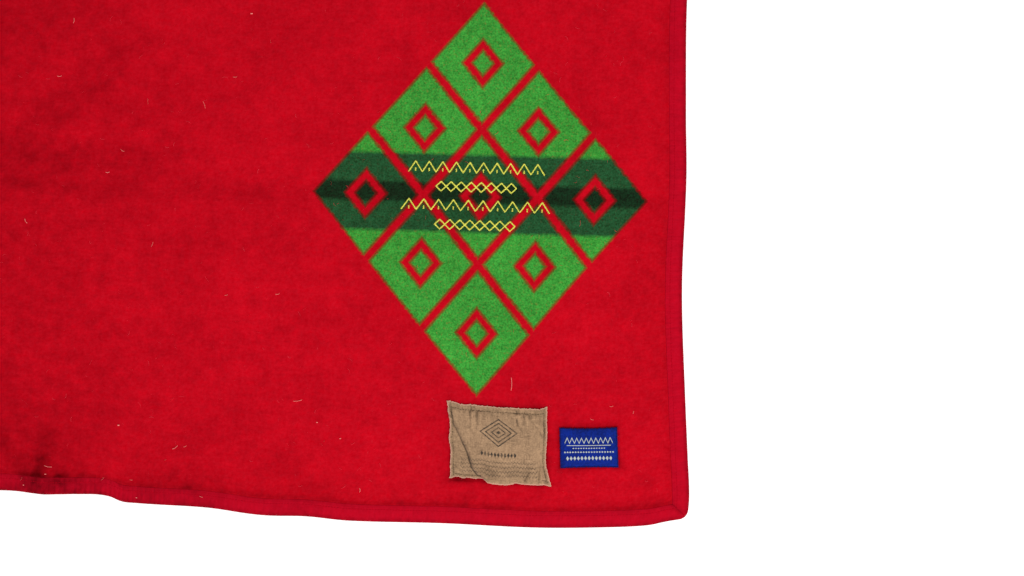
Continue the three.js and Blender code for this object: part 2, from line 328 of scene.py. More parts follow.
# %% [markdown]
# Materials are made of nodes, and a few small helpers keep their making short: one adds a node with
# its settings and inputs, one adds a sum, and one opens a node group with named sockets. A group is
# an effect that several materials share, such as the nap of wool or the weave of a label.

# %% Helpers for node trees


def feed(tree, value, socket):
    """Joins another node's output to a socket, or sets the socket to a plain value."""
    if isinstance(value, bpy.types.NodeSocket):
        tree.links.new(value, socket)
    else:
        socket.default_value = value


def add_node(tree, kind, inputs=None, **settings):
    """A new node with its settings, and its inputs given by name or number."""
    made = tree.nodes.new(kind)
    for name, value in settings.items():
        setattr(made, name, value)
    for key, value in (inputs or {}).items():
        feed(tree, value, made.inputs[key])
    return made


def calc(tree, operation, *values):
    """One sum, such as ADD or MULTIPLY, of plain values and other nodes' outputs."""
    return add_node(tree, "ShaderNodeMath", dict(enumerate(values)), operation=operation).outputs[0]


def open_group(kind, name, inputs, outputs):
    """An empty node group, with what it is given and what it gives out."""
    tree = bpy.data.node_groups.new(name, kind)
    for label, (socket_type, default) in inputs.items():
        socket = tree.interface.new_socket(label, in_out="INPUT", socket_type="NodeSocket" + socket_type)
        if default is not None:
            socket.default_value = default
    for label, socket_type in outputs.items():
        tree.interface.new_socket(label, in_out="OUTPUT", socket_type="NodeSocket" + socket_type)
    given = add_node(tree, "NodeGroupInput").outputs
    result = add_node(tree, "NodeGroupOutput").inputs
    return tree, given, result


def use_group(tree, group, inputs):
    """Places a group in a tree, and returns its outputs."""
    return add_node(tree, "ShaderNodeGroup", inputs, node_tree=group).outputs


def counted(group):
    """Prints the size of a finished group, and passes the group on."""
    print(f"node group {group.name}: {len(group.nodes)} nodes")
    return group


# %% Helpers for single nodes


def noise(tree, place, size, detail=2.0, roughness=0.55):
    """Soft noise around 0, whose lumps are about one size apart."""
    inputs = {
        "Vector": place,
        "Scale": calc(tree, "DIVIDE", 1.0, size),
        "Detail": detail,
        "Roughness": roughness,
    }
    clouds = add_node(tree, "ShaderNodeTexNoise", inputs).outputs["Fac"]
    return calc(tree, "SUBTRACT", clouds, 0.5)


def mix_colour(tree, share, first, second):
    """From the first colour to the second."""
    inputs = {0: share, 6: first, 7: second}
    return add_node(tree, "ShaderNodeMix", inputs, data_type="RGBA").outputs[2]


def shade(tree, colour, factor):
    """A colour made darker or lighter by a factor."""
    plain = not isinstance(colour, bpy.types.NodeSocket)
    inputs = {0: colour[:3] if plain else colour, "Scale": factor}
    return add_node(tree, "ShaderNodeVectorMath", inputs, operation="SCALE").outputs[0]


def clamp(tree, value):
    """A value kept between 0 and 1."""
    return add_node(tree, "ShaderNodeClamp", {0: value}).outputs[0]


def shifted(tree, place, by):
    """A place moved by a vector, to centre a pattern or to read another part of a noise."""
    return add_node(tree, "ShaderNodeVectorMath", {0: place, 1: by}).outputs[0]


def split(tree, vector):
    """The X and Y parts of a vector."""
    return add_node(tree, "ShaderNodeSeparateXYZ", {0: vector}).outputs[:2]


def linear(red, green, blue):
    """A screen colour from 0 to 255, as the light that it stands for."""
    parts = [value / 255 for value in (red, green, blue)]
    return tuple(p / 12.92 if p < 0.04045 else ((p + 0.055) / 1.055) ** 2.4 for p in parts) + (1,)


# %% [markdown]
# Felted wool is cloudy at every scale: single fibres catch the light, clumps of nap stand or lie
# flat, and whole hands' breadths fade with use. The group adds three sizes of noise, and gives the
# same clouds out as a height, so that the bumps and the colour belong together.

# %% Node group: nap of felted wool

# Noises as multiples of the grain's size, and how far weft and warp draw theirs out
NAP = {"hairs": 1.5, "clumps": 4.4, "fading": 22.0, "weft": 5, "warp": 4}
HAIRS_FROM = (1.3, 2.9, 0)
BETWEEN_CLUMPS = 1.5
DARKEST = 0.25


def stretched(tree, place, along_x, along_y):
    """A place whose noise comes out longer in X or in Y by these factors."""
    scale = (1 / along_x, 1 / along_y, 1)
    return add_node(tree, "ShaderNodeMapping", {"Vector": place, "Scale": scale}).outputs[0]


def make_nap_group():
    inputs = {
        "Place": ("Vector", None),
        "Colour": ("Color", (0.5, 0.5, 0.5, 1)),
        "Grain Size": ("Float", 0.0034),
        "Grain": ("Float", 0.9),
        "Clouds": ("Float", 0.6),
        "Shade And Wear": ("Float", 0.0),
        "Flecks": ("Float", 0.0),
    }
    outputs = {"Colour": "Color", "Height": "Float"}
    tree, given, result = open_group("ShaderNodeTree", "wool nap", inputs, outputs)
    place, size = given["Place"], given["Grain Size"]
    fibres = noise(tree, place, size, detail=3, roughness=0.65)
    weft = noise(tree, stretched(tree, place, NAP["weft"], 1), size, detail=2)
    warp = noise(tree, stretched(tree, place, 1, NAP["warp"]), size, detail=2)
    larger = {name: calc(tree, "MULTIPLY", size, NAP[name]) for name in ("hairs", "clumps", "fading")}
    clumps = noise(tree, place, larger["clumps"], detail=2, roughness=0.6)
    fading = noise(tree, place, larger["fading"], detail=3, roughness=0.6)
    brushed = calc(tree, "MULTIPLY", calc(tree, "ADD", weft, warp), 0.5)
    fine = calc(tree, "MULTIPLY", calc(tree, "ADD", fibres, brushed), given["Grain"])
    cloudy = calc(tree, "MULTIPLY", calc(tree, "ADD", clumps, fading), given["Clouds"])
    # painted shade, with a little wear, darkens the nap, and most of all between the clumps
    spots = calc(tree, "MULTIPLY_ADD", clumps, -BETWEEN_CLUMPS, 1.0)
    dark = calc(tree, "SUBTRACT", 1.0, calc(tree, "MULTIPLY", given["Shade And Wear"], spots))
    brightness = calc(tree, "ADD", 1.0, calc(tree, "ADD", fine, cloudy))
    brightness = calc(tree, "MULTIPLY", brightness, calc(tree, "MAXIMUM", dark, DARKEST))
    # single hairs of a red cloth are paler or browner than the rest, which changes its green and blue
    hairs = noise(tree, shifted(tree, place, HAIRS_FROM), larger["hairs"], detail=4, roughness=0.8)
    tint = calc(tree, "MULTIPLY", calc(tree, "MULTIPLY_ADD", fibres, 0.5, hairs), given["Flecks"])
    green, blue = [calc(tree, "MULTIPLY_ADD", tint, share, 1.0) for share in (1.0, 0.5)]
    tinted = add_node(tree, "ShaderNodeCombineXYZ", {0: 1.0, 1: green, 2: blue}).outputs[0]
    both = {0: given["Colour"], 1: tinted}
    flecked = add_node(tree, "ShaderNodeVectorMath", both, operation="MULTIPLY").outputs[0]
    feed(tree, shade(tree, flecked, brightness), result["Colour"])
    feed(tree, calc(tree, "ADD", fibres, clumps), result["Height"])
    return tree


nap_group = counted(make_nap_group())

# %% [markdown]
# The green of the motif is spun from fleece of several dyes. Seen close, it is light green with
# darker hairs, and with a few hairs of the red ground that felting has drawn through.

# %% Node group: yarn spun from several dyes

# Tufts and strays as multiples of a hair's size. A gain sharpens a noise, and a share says how often
HEATHER = {"tufts": 3.0, "tuft_share": 0.4, "strays": 1.4, "strays_from": (3.1, 1.7, 0)}
DARK_HAIRS = {"gain": 2.7, "share": 0.42}
STRAY_HAIRS = {"gain": 3.0, "share": -0.14}


def make_heather_group():
    inputs = {
        "Place": ("Vector", None),
        "Light": ("Color", (0.1, 0.3, 0.1, 1)),
        "Dark": ("Color", (0.05, 0.15, 0.05, 1)),
        "Stray": ("Color", (0.3, 0.1, 0.05, 1)),
        "Hair Size": ("Float", 0.002),
    }
    tree, given, result = open_group("ShaderNodeTree", "heathered yarn", inputs, {"Colour": "Color"})
    place, size = given["Place"], given["Hair Size"]
    hairs = noise(tree, place, size, detail=2, roughness=0.7)
    tufts = noise(tree, place, calc(tree, "MULTIPLY", size, HEATHER["tufts"]), detail=1)
    mottled = calc(tree, "MULTIPLY_ADD", tufts, HEATHER["tuft_share"], hairs)
    darker = calc(tree, "MULTIPLY_ADD", mottled, DARK_HAIRS["gain"], DARK_HAIRS["share"])
    patch_size = calc(tree, "MULTIPLY", size, HEATHER["strays"])
    patches = noise(tree, shifted(tree, place, HEATHER["strays_from"]), patch_size, roughness=0.7)
    strays = calc(tree, "MULTIPLY_ADD", patches, STRAY_HAIRS["gain"], STRAY_HAIRS["share"])
    greens = mix_colour(tree, clamp(tree, darker), given["Light"], given["Dark"])
    feed(tree, mix_colour(tree, clamp(tree, strays), greens, given["Stray"]), result["Colour"])
    return tree


heather_group = counted(make_heather_group())

# %% [markdown]
# The motif is nine outlined lozenges, set in a diamond of three by three. A loom draws a slanting edge
# as a stair of picks, so the height is first rounded to steps. In coordinates turned by 45 degrees
# each lozenge is a unit square, which makes the cluster a test of how far a point lies from its
# square's middle. A little noise in the place gives the edges the fuzz of felted wool.

# %% Node group: cluster of outlined lozenges

# Distances from a lozenge's middle, where 1 is the edge of its square
LOZENGE = {"outline": 0.90, "hollow": 0.37, "heart": 0.19}
FUZZ_SPREAD = 1.4


def soft_step(tree, value, edge, softness):
    """1 below an edge and 0 above it, with a soft change between."""
    below = calc(tree, "DIVIDE", calc(tree, "SUBTRACT", edge, value), softness)
    return clamp(tree, calc(tree, "ADD", below, 0.5))


def make_lozenge_group():
    inputs = {
        "Place": ("Vector", None),
        "Half Width": ("Float", 0.064),
        "Half Height": ("Float", 0.073),
        "Step": ("Float", 0.009),
        "Fuzz": ("Float", 0.002),
        "Softness": ("Float", 0.03),
    }
    outputs = {"Lozenges": "Float", "Height": "Float"}
    tree, given, result = open_group("ShaderNodeTree", "lozenge cluster", inputs, outputs)
    x, y = split(tree, given["Place"])
    fuzz_size = calc(tree, "MULTIPLY", given["Fuzz"], FUZZ_SPREAD)
    fuzz = calc(tree, "MULTIPLY", noise(tree, given["Place"], fuzz_size), given["Fuzz"])
    fuzzy_y = calc(tree, "ADD", y, fuzz)
    stair = calc(tree, "SNAP", fuzzy_y, given["Step"])
    stair = calc(tree, "ADD", stair, calc(tree, "MULTIPLY", given["Step"], 0.5))
    p = calc(tree, "DIVIDE", calc(tree, "ADD", x, fuzz), given["Half Width"])
    q = calc(tree, "DIVIDE", stair, given["Half Height"])
    apart, inside = [], []
    for operation in ("ADD", "SUBTRACT"):
        turned = calc(tree, "MULTIPLY", calc(tree, operation, p, q), 0.5)
        square = calc(tree, "ROUND", turned)
        apart.append(calc(tree, "ABSOLUTE", calc(tree, "SUBTRACT", turned, square)))
        inside.append(calc(tree, "LESS_THAN", calc(tree, "ABSOLUTE", square), 1.5))
    # 0 in the middle of a lozenge, and 1 at its edge
    distance = calc(tree, "MULTIPLY", calc(tree, "MAXIMUM", *apart), 2.0)
    within = {name: soft_step(tree, distance, edge, given["Softness"]) for name, edge in LOZENGE.items()}
    cluster = calc(tree, "MULTIPLY", *inside)
    ring = calc(tree, "SUBTRACT", within["outline"], within["hollow"])
    rings = calc(tree, "ADD", ring, within["heart"])
    feed(tree, calc(tree, "MULTIPLY", rings, cluster), result["Lozenges"])
    feed(tree, fuzzy_y, result["Height"])
    return tree


lozenge_group = counted(make_lozenge_group())

# %% [markdown]
# The labels carry rows of ornament in place of words: small diamonds, and thin zigzags. One group
# draws both kinds of row. It folds the length of the row into one repeat, and measures in it.

# %% Node group: row of small ornament
DIAMOND_HALF = 0.42


def make_ornament_group():
    inputs = {
        "Place": ("Vector", None),
        "Row": ("Float", 0.0),
        "Half Length": ("Float", 0.03),
        "Repeat": ("Float", 0.006),
        "Height": ("Float", 0.003),
        "Line": ("Float", 0.0006),
    }
    outputs = {"Diamonds": "Float", "Zigzag": "Float"}
    tree, given, result = open_group("ShaderNodeTree", "row of ornament", inputs, outputs)
    x, y = split(tree, given["Place"])
    across = calc(tree, "SUBTRACT", y, given["Row"])
    in_row = calc(tree, "LESS_THAN", calc(tree, "ABSOLUTE", x), given["Half Length"])
    # -0.5 to 0.5 along each repeat
    repeats = calc(tree, "DIVIDE", x, given["Repeat"])
    along = calc(tree, "SUBTRACT", repeats, calc(tree, "ROUND", repeats))
    from_middle = calc(tree, "ABSOLUTE", along)
    up = calc(tree, "ABSOLUTE", calc(tree, "DIVIDE", across, given["Height"]))
    diamond = calc(tree, "LESS_THAN", calc(tree, "ADD", from_middle, up), DIAMOND_HALF)
    # half the height below the row at a repeat's middle, and half above it at its ends
    wave = calc(tree, "MULTIPLY", calc(tree, "SUBTRACT", from_middle, 0.25), given["Height"])
    off_line = calc(tree, "ABSOLUTE", calc(tree, "SUBTRACT", across, calc(tree, "MULTIPLY", wave, 2.0)))
    zigzag = calc(tree, "LESS_THAN", off_line, given["Line"])
    feed(tree, calc(tree, "MULTIPLY", diamond, in_row), result["Diamonds"])
    feed(tree, calc(tree, "MULTIPLY", zigzag, in_row), result["Zigzag"])
    return tree


ornament_group = counted(make_ornament_group())

# %% [markdown]
# Plain weave is two sets of threads that pass over and under each other. A product of two waves, one
# along each thread's direction, rises and falls in the same chequer as the thread crossings do.

# %% Node group: plain weave
CROSSING_HEIGHT = 0.25
SLUB_THREADS = 5.0


def make_weave_group():
    inputs = {"Place": ("Vector", None), "Thread": ("Float", 0.0006), "Slub": ("Float", 0.3)}
    tree, given, result = open_group("ShaderNodeTree", "plain weave", inputs, {"Height": "Float"})
    waves = []
    for part in split(tree, given["Place"]):
        turns = calc(tree, "DIVIDE", calc(tree, "MULTIPLY", part, math.pi), given["Thread"])
        waves.append(calc(tree, "SINE", turns))
    crossings = calc(tree, "MULTIPLY", *waves)
    slubs = noise(tree, given["Place"], calc(tree, "MULTIPLY", given["Thread"], SLUB_THREADS), detail=3)
    uneven = calc(tree, "MULTIPLY", slubs, given["Slub"])
    feed(tree, calc(tree, "MULTIPLY_ADD", crossings, CROSSING_HEIGHT, uneven), result["Height"])
    return tree


weave_group = counted(make_weave_group())

# %% [markdown]
# Round each label the thick nap lies in a little shade. The group paints that shade as a dark rim
# outside a rectangle: it measures how far a point lies past each pair of sides, joins the two
# distances as a right angle does, and lets the rim fade out with the distance.

# %% Node group: painted shade beside a label


def make_label_shade_group():
    inputs = {
        "Place": ("Vector", None),
        "Half Width": ("Float", 0.05),
        "Half Height": ("Float", 0.04),
        "Reach": ("Float", 0.003),
    }
    tree, given, result = open_group("ShaderNodeTree", "painted shade beside a label", inputs, {"Painted Shade": "Float"})
    squares = []
    for part, half in zip(split(tree, given["Place"]), ("Half Width", "Half Height")):
        past = calc(tree, "SUBTRACT", calc(tree, "ABSOLUTE", part), given[half])
        past = calc(tree, "MAXIMUM", past, 0.0)
        squares.append(calc(tree, "MULTIPLY", past, past))
    distance = calc(tree, "SQRT", calc(tree, "ADD", *squares))
    reaches = calc(tree, "DIVIDE", distance, given["Reach"])
    feed(tree, calc(tree, "EXPONENT", calc(tree, "MULTIPLY", reaches, -1.0)), result["Painted Shade"])
    return tree


label_shade_group = counted(make_label_shade_group())

# %% [markdown]
# Each material reads the attribute "flat", in which every point keeps its place in the cloth before it
# was laid. Fibres give cloth a pale bloom at glancing angles, which is the shader's sheen. Its
# roughness is high all over, so the only gloss is that of the threads and the small label. A second
# attribute holds painted shade, with a little wear: it darkens a piece in its creases, valleys, seams
# and edges, on the sides of folds that turn from the light, and where the light falls off.

# %% Helpers for materials
SHEEN_ROUGHNESS = 0.6
MATERIALS = {}


def open_material(name, sheen=0.0, roughness=0.9, specular=0.25, sheen_tint=(1, 1, 1, 1)):
    """A new material with one Principled shader, and the place of each point in the flat cloth."""
    material = bpy.data.materials.new(name)
    material.use_nodes = True
    tree = material.node_tree
    shader = tree.nodes["Principled BSDF"]
    shader.inputs["Roughness"].default_value = roughness
    shader.inputs["Specular IOR Level"].default_value = specular
    shader.inputs["Sheen Weight"].default_value = sheen
    shader.inputs["Sheen Roughness"].default_value = SHEEN_ROUGHNESS
    shader.inputs["Sheen Tint"].default_value = sheen_tint
    flat = add_node(tree, "ShaderNodeAttribute", attribute_name="flat").outputs["Vector"]
    return material, tree, shader, flat


def own_place(tree):
    """The place of each point in its object's own coordinates, for what has no flat place."""
    return add_node(tree, "ShaderNodeTexCoord").outputs["Object"]


def shade_and_wear_here(tree):
    """How much painted shade, with a little wear, darkens the piece at each point, from 0 to 1."""
    return add_node(tree, "ShaderNodeAttribute", attribute_name="shade_and_wear").outputs["Fac"]


def finish_material(tree, shader, colour, height, depth):
    """Joins the colour, and the height as a bump of that depth in metres."""
    feed(tree, colour, shader.inputs["Base Color"])
    bump = add_node(tree, "ShaderNodeBump", {"Height": height, "Distance": depth, "Strength": 1.0})
    feed(tree, bump.outputs["Normal"], shader.inputs["Normal"])


def keep_material(name, material):
    """Keeps a finished material for the pieces, and prints the size of its tree."""
    MATERIALS[name] = material
    print(f"material {name}: {len(material.node_tree.nodes)} nodes")


# %% Places and dyes of the woven motif
MOTIF = {"x": 586, "y": -662.6, "half_width": 64, "half_height": 73, "step": 1.5, "fuzz": 3.2}
MOTIF_SOFTNESS = 0.08
GREEN_HAIR = 0.0021
DULL_OUTLINE = 1.7
RED_FLECKS = 3.0
BANDS = {"middle": 3, "dark_half": 42, "black_half": 10.5, "softness": 0.0045}
# Painted shade round each label: the rectangle it lies round, how dark it is and how far it reaches
LABELS_WITH_SHADE = [
    {"x": 610, "y": -926.7, "half_width": 52.2, "half_height": 40.9},
    {"x": 708, "y": -928, "half_width": 31.3, "half_height": 21.3},
]
SHADE_ROUND_LABELS = {"share": 0.5, "reach": 2.8}
RED = linear(184, 9, 26)
RED_SHEEN = (0.9, 0.03, 0.06, 1)
GREENS = {
    "light": (linear(63, 162, 60), linear(32, 114, 38), linear(128, 120, 54)),
    "dark": (linear(32, 88, 52), linear(14, 54, 26), linear(60, 62, 38)),
    "black": (linear(12, 52, 30), linear(4, 22, 14), linear(30, 38, 26)),
}
print("greens of the motif:", ", ".join(GREENS))

# %% Red wool with the woven motif


def painted_shade_of_wool(tree, flat):
    """The painted shade of the wool, with a little wear, and more painted shade in the rim beside each
    label.
    """
    # the painted shade and wear of the wool, to which each label's painted shade is added
    pressed = shade_and_wear_here(tree)
    for label in LABELS_WITH_SHADE:
        sizes = {
            "Place": shifted(tree, flat, (-label["x"] * MM, -label["y"] * MM, 0)),
            "Half Width": label["half_width"] * MM,
            "Half Height": label["half_height"] * MM,
            "Reach": SHADE_ROUND_LABELS["reach"] * MM,
        }
        beside = use_group(tree, label_shade_group, sizes)["Painted Shade"]
        pressed = calc(tree, "MULTIPLY_ADD", beside, SHADE_ROUND_LABELS["share"], pressed)
    return pressed


def make_blanket_wool():
    material, tree, shader, flat = open_material(
        "blanket_wool", sheen=0.12, roughness=1.0, specular=0.0, sheen_tint=RED_SHEEN
    )
    sizes = {
        "Place": shifted(tree, flat, (-MOTIF["x"] * MM, -MOTIF["y"] * MM, 0)),
        "Half Width": MOTIF["half_width"] * MM,
        "Half Height": MOTIF["half_height"] * MM,
        "Step": MOTIF["step"] * MM,
        "Fuzz": MOTIF["fuzz"] * MM,
        "Softness": MOTIF_SOFTNESS,
    }
    motif = use_group(tree, lozenge_group, sizes)
    from_band = calc(tree, "ABSOLUTE", calc(tree, "SUBTRACT", motif["Height"], BANDS["middle"] * MM))
    greens = {}
    for name, (light, dark, stray) in GREENS.items():
        dyes = {"Place": flat, "Light": light, "Dark": dark, "Stray": stray, "Hair Size": GREEN_HAIR}
        greens[name] = use_group(tree, heather_group, dyes)["Colour"]
    in_dark = soft_step(tree, from_band, BANDS["dark_half"] * MM, BANDS["softness"])
    in_black = soft_step(tree, from_band, BANDS["black_half"] * MM, BANDS["softness"])
    green = mix_colour(tree, in_dark, greens["light"], greens["dark"])
    green = mix_colour(tree, in_black, green, greens["black"])
    # the pattern is woven into the upper face alone, whose flat places have a height of 0
    depth = add_node(tree, "ShaderNodeSeparateXYZ", {0: flat}).outputs["Z"]
    on_top = calc(tree, "GREATER_THAN", depth, -BLANKET["thick"] / 2 * MM)
    woven = calc(tree, "MULTIPLY", motif["Lozenges"], on_top)
    ground = mix_colour(tree, woven, RED, green)
    # red and green fleece felt into a dull brown along the outlines, and painted shade of the nap darkens
    # them more
    edge = calc(tree, "MULTIPLY", woven, calc(tree, "SUBTRACT", 1.0, woven))
    ground = shade(tree, ground, calc(tree, "MULTIPLY_ADD", edge, -DULL_OUTLINE, 1.0))
    red_only = calc(tree, "MULTIPLY_ADD", woven, -RED_FLECKS, RED_FLECKS)
    # the nap is darkened by painted shade, a little wear and the painted shade round the labels
    nap = use_group(tree, nap_group, {
        "Place": flat, "Colour": ground, "Grain": 0.31, "Clouds": 0.50,
        "Shade And Wear": painted_shade_of_wool(tree, flat), "Flecks": red_only,
    })
    finish_material(tree, shader, nap["Colour"], nap["Height"], depth=0.0006)
    return material


keep_material("blanket_wool", make_blanket_wool())

# %% [markdown]
# The tape is woven too, but flat and firm, with hardly any nap. Sewn round an edge, it gathers into
# small ribs across its width. Their noise is stretched across the tape, which is the first direction
# of its flat place, so that each rib runs from the seam to the fold.

# %% Red tape of the binding
TAPE_RED = linear(180, 7, 31)
RIB = {"width": 4.6, "length": 24, "height": 1.2}
TAPE_WEAVE = {"Thread": 0.0011, "Slub": 0.8}
TAPE_WEAVE_HEIGHT = 0.15


def make_binding_tape():
    material, tree, shader, flat = open_material(
        "binding_tape", sheen=0.1, roughness=0.95, specular=0.02, sheen_tint=RED_SHEEN
    )
    nap = use_group(tree, nap_group, {
        "Place": flat, "Colour": TAPE_RED, "Grain Size": 0.0018, "Grain": 0.22, "Clouds": 0.24,
        "Shade And Wear": shade_and_wear_here(tree), "Flecks": 2.0,
    })
    ribs = noise(tree, stretched(tree, flat, RIB["length"] * MM, RIB["width"] * MM), 1.0, detail=1)
    weave = use_group(tree, weave_group, {"Place": flat, **TAPE_WEAVE})["Height"]
    height = calc(tree, "MULTIPLY", weave, TAPE_WEAVE_HEIGHT)
    height = calc(tree, "MULTIPLY_ADD", ribs, RIB["height"], height)
    finish_material(tree, shader, nap["Colour"], height, depth=0.0006)
    return material


keep_material("binding_tape", make_binding_tape())

# %% [markdown]
# The larger label is unbleached cotton, printed in brown. Its print is an outlined lozenge, a row of
# diamonds and four fine zigzag rows, faint where the cloth has been rubbed. The smaller one is a
# close, glossy weave, with a pattern of cream threads on blue.

# %% Print and raw edges of the larger label
PRINT = {"lozenge_y": 12.5, "lozenge": (22, 16), "title_y": -12, "lines": (-20, -24.6, -29.2, -33.4)}
PRINT_RINGS = [(0.94, 0.05), (0.66, 0.045), (0.36, 0.04), (0.06, 0.07)]
PRINT_TITLE = {"Half Length": 0.0209, "Repeat": 0.0038, "Height": 0.0068}
PRINT_LINE = {"Half Length": 0.043, "Repeat": 0.0034, "Height": 0.0021, "Line": 0.00048}
RIM_RAGGED = 0.0006
RIM_SOFTNESS = 0.0010


def any_mask(tree, masks):
    """The largest of several masks at each point."""
    total = masks[0]
    for mask in masks[1:]:
        total = calc(tree, "MAXIMUM", total, mask)
    return total


def outlined_lozenge(tree, flat, middle_y, half_sizes, rings):
    """A mask of concentric lozenges: each ring is a distance, where 1 is the outline, and a half width."""
    x, y = split(tree, flat)
    p = calc(tree, "DIVIDE", calc(tree, "ABSOLUTE", x), half_sizes[0] * MM)
    up = calc(tree, "ABSOLUTE", calc(tree, "SUBTRACT", y, middle_y * MM))
    distance = calc(tree, "ADD", p, calc(tree, "DIVIDE", up, half_sizes[1] * MM))
    return any_mask(tree, [calc(tree, "COMPARE", distance, at, half) for at, half in rings])


def near_rim(tree, flat, label, width, weave):
    """1 along the edges of a label, 0 inside, and ragged between as the weave is."""
    to_edges = []
    for part, size in zip(split(tree, flat), (label["width"], label["height"])):
        to_edges.append(calc(tree, "SUBTRACT", size / 2 * MM, calc(tree, "ABSOLUTE", part)))
    to_rim = calc(tree, "MULTIPLY_ADD", weave, RIM_RAGGED, calc(tree, "MINIMUM", *to_edges))
    return soft_step(tree, to_rim, width, RIM_SOFTNESS)


print("printed lozenges, one inside another:", len(PRINT_RINGS))

# %% Tan cotton of the larger label
TAN = linear(160, 128, 98)
FRAYED = linear(204, 156, 134)
INK = linear(50, 46, 42)
FAINT = 0.75
RUBBED = {"size": 0.0035, "gain": 2.4, "left": 0.82}


def make_label_cotton():
    material, tree, shader, flat = open_material("label_cotton", sheen=0.1, roughness=0.95, specular=0.05)
    weave = use_group(tree, weave_group, {"Place": flat, "Thread": 0.0008, "Slub": 0.9})
    cloudy = {
        "Place": flat, "Colour": TAN, "Grain Size": 0.0016, "Grain": 1.2, "Clouds": 0.7,
        "Shade And Wear": shade_and_wear_here(tree),
    }
    cloth = use_group(tree, nap_group, cloudy)["Colour"]
    # loose ends of thread are paler than the weave, along the raw edges
    cloth = mix_colour(tree, near_rim(tree, flat, CARE_LABEL, 0.0009, weave["Height"]), cloth, FRAYED)
    drawing = outlined_lozenge(tree, flat, PRINT["lozenge_y"], PRINT["lozenge"], PRINT_RINGS)
    title = {"Place": flat, "Row": PRINT["title_y"] * MM, **PRINT_TITLE}
    diamonds = use_group(tree, ornament_group, title)["Diamonds"]
    lines = []
    for row in PRINT["lines"]:
        sizes = {"Place": flat, "Row": row * MM, **PRINT_LINE}
        lines.append(use_group(tree, ornament_group, sizes)["Zigzag"])
    faint_lines = calc(tree, "MULTIPLY", any_mask(tree, lines), FAINT)
    marks = any_mask(tree, [drawing, diamonds, faint_lines])
    cloudy_print = noise(tree, flat, RUBBED["size"], detail=3)
    rubbed = clamp(tree, calc(tree, "MULTIPLY_ADD", cloudy_print, RUBBED["gain"], RUBBED["left"]))
    colour = mix_colour(tree, calc(tree, "MULTIPLY", marks, rubbed), cloth, INK)
    finish_material(tree, shader, colour, weave["Height"], depth=0.0006)
    return material


keep_material("label_cotton", make_label_cotton())

# %% Blue label tape with cream threads
BLUE = linear(5, 33, 123)
BLUE_RIM = linear(44, 10, 66)
CREAM = linear(196, 202, 192)
CREAM_CAUGHT = {"size": 0.0009, "gain": 1.6, "share": 0.84}
WOVEN_ROWS = [
    (
        "Zigzag",
        {"Row": 0.0078, "Half Length": 0.0260, "Repeat": 0.0052, "Height": 0.0056, "Line": 0.0009},
    ),
    ("Zigzag", {"Row": 0.0026, "Half Length": 0.0240, "Repeat": 0.9, "Height": 0.0, "Line": 0.0004}),
    ("Diamonds", {"Row": -0.0004, "Half Length": 0.0182, "Repeat": 0.0028, "Height": 0.0018}),
    ("Diamonds", {"Row": -0.0045, "Half Length": 0.0275, "Repeat": 0.0029, "Height": 0.0024}),
    ("Diamonds", {"Row": -0.0110, "Half Length": 0.0253, "Repeat": 0.0039, "Height": 0.0056}),
]


def make_label_satin():
    material, tree, shader, flat = open_material("label_satin", sheen=0.0, roughness=0.6, specular=0.075)
    weave = use_group(tree, weave_group, {"Place": flat, "Thread": 0.0005, "Slub": 0.3})
    cloudy = {
        "Place": flat, "Colour": BLUE, "Grain Size": 0.0022, "Grain": 1.5, "Clouds": 0.8,
        "Shade And Wear": shade_and_wear_here(tree),
    }
    cloth = use_group(tree, nap_group, cloudy)["Colour"]
    # a dark purple rim: painted shade where the edges turn down, and red fluff of the blanket caught in
    # them
    rim = near_rim(tree, flat, WOVEN_LABEL, 0.0005, weave["Height"])
    cloth = mix_colour(tree, rim, cloth, BLUE_RIM)
    rows = []
    for kind, sizes in WOVEN_ROWS:
        rows.append(use_group(tree, ornament_group, {"Place": flat, **sizes})[kind])
    marks = any_mask(tree, rows)
    uneven = noise(tree, flat, CREAM_CAUGHT["size"], detail=2)
    caught = clamp(tree, calc(tree, "MULTIPLY_ADD", uneven, CREAM_CAUGHT["gain"], CREAM_CAUGHT["share"]))
    colour = mix_colour(tree, calc(tree, "MULTIPLY", marks, caught), cloth, CREAM)
    raised = calc(tree, "ADD", weave["Height"], marks)
    finish_material(tree, shader, colour, raised, depth=0.0003)
    return material


keep_material("label_satin", make_label_satin())

# %% [markdown]
# Threads and loose fibres are thinner than a pixel of the render, so theirs is a plain twist of dark
# and light along them, with a little gloss. They carry no flat place and read their own coordinates.

# %% Threads and fibres
TWIST = {"size": 0.0009, "contrast": 1.1}

# Colour, roughness and specular of each thread
THREADS = {
    "red_thread": (linear(176, 6, 28), 0.9, 0.0),
    "yellow_thread": (linear(232, 230, 96), 0.5, 0.2),
    "tan_thread": (linear(84, 70, 50), 0.7, 0.1),
    "blue_thread": (linear(10, 18, 70), 0.6, 0.1),
    "loose_fibre": (linear(238, 62, 80), 0.7, 0.1),
    "lint": (linear(250, 136, 130), 0.7, 0.1),
}


def make_thread(name, colour, roughness, specular):
    material, tree, shader, _ = open_material(name, roughness=roughness, specular=specular)
    strands = noise(tree, own_place(tree), TWIST["size"], detail=2)
    colour = shade(tree, colour, calc(tree, "MULTIPLY_ADD", strands, TWIST["contrast"], 1.0))
    finish_material(tree, shader, colour, strands, depth=0.0002)
    return material


for name, look in THREADS.items():
    keep_material(name, make_thread(name, *look))

# %% [markdown]
# The floor is pale and wide, as paper in a studio is, and lies just under the blanket. It only stages
# the object and is no part of it.

# %% The floor
FLOOR = {"size": 60, "below": 0.0003, "clouds": 0.6, "cloudy": 0.01, "lit": 0.3}


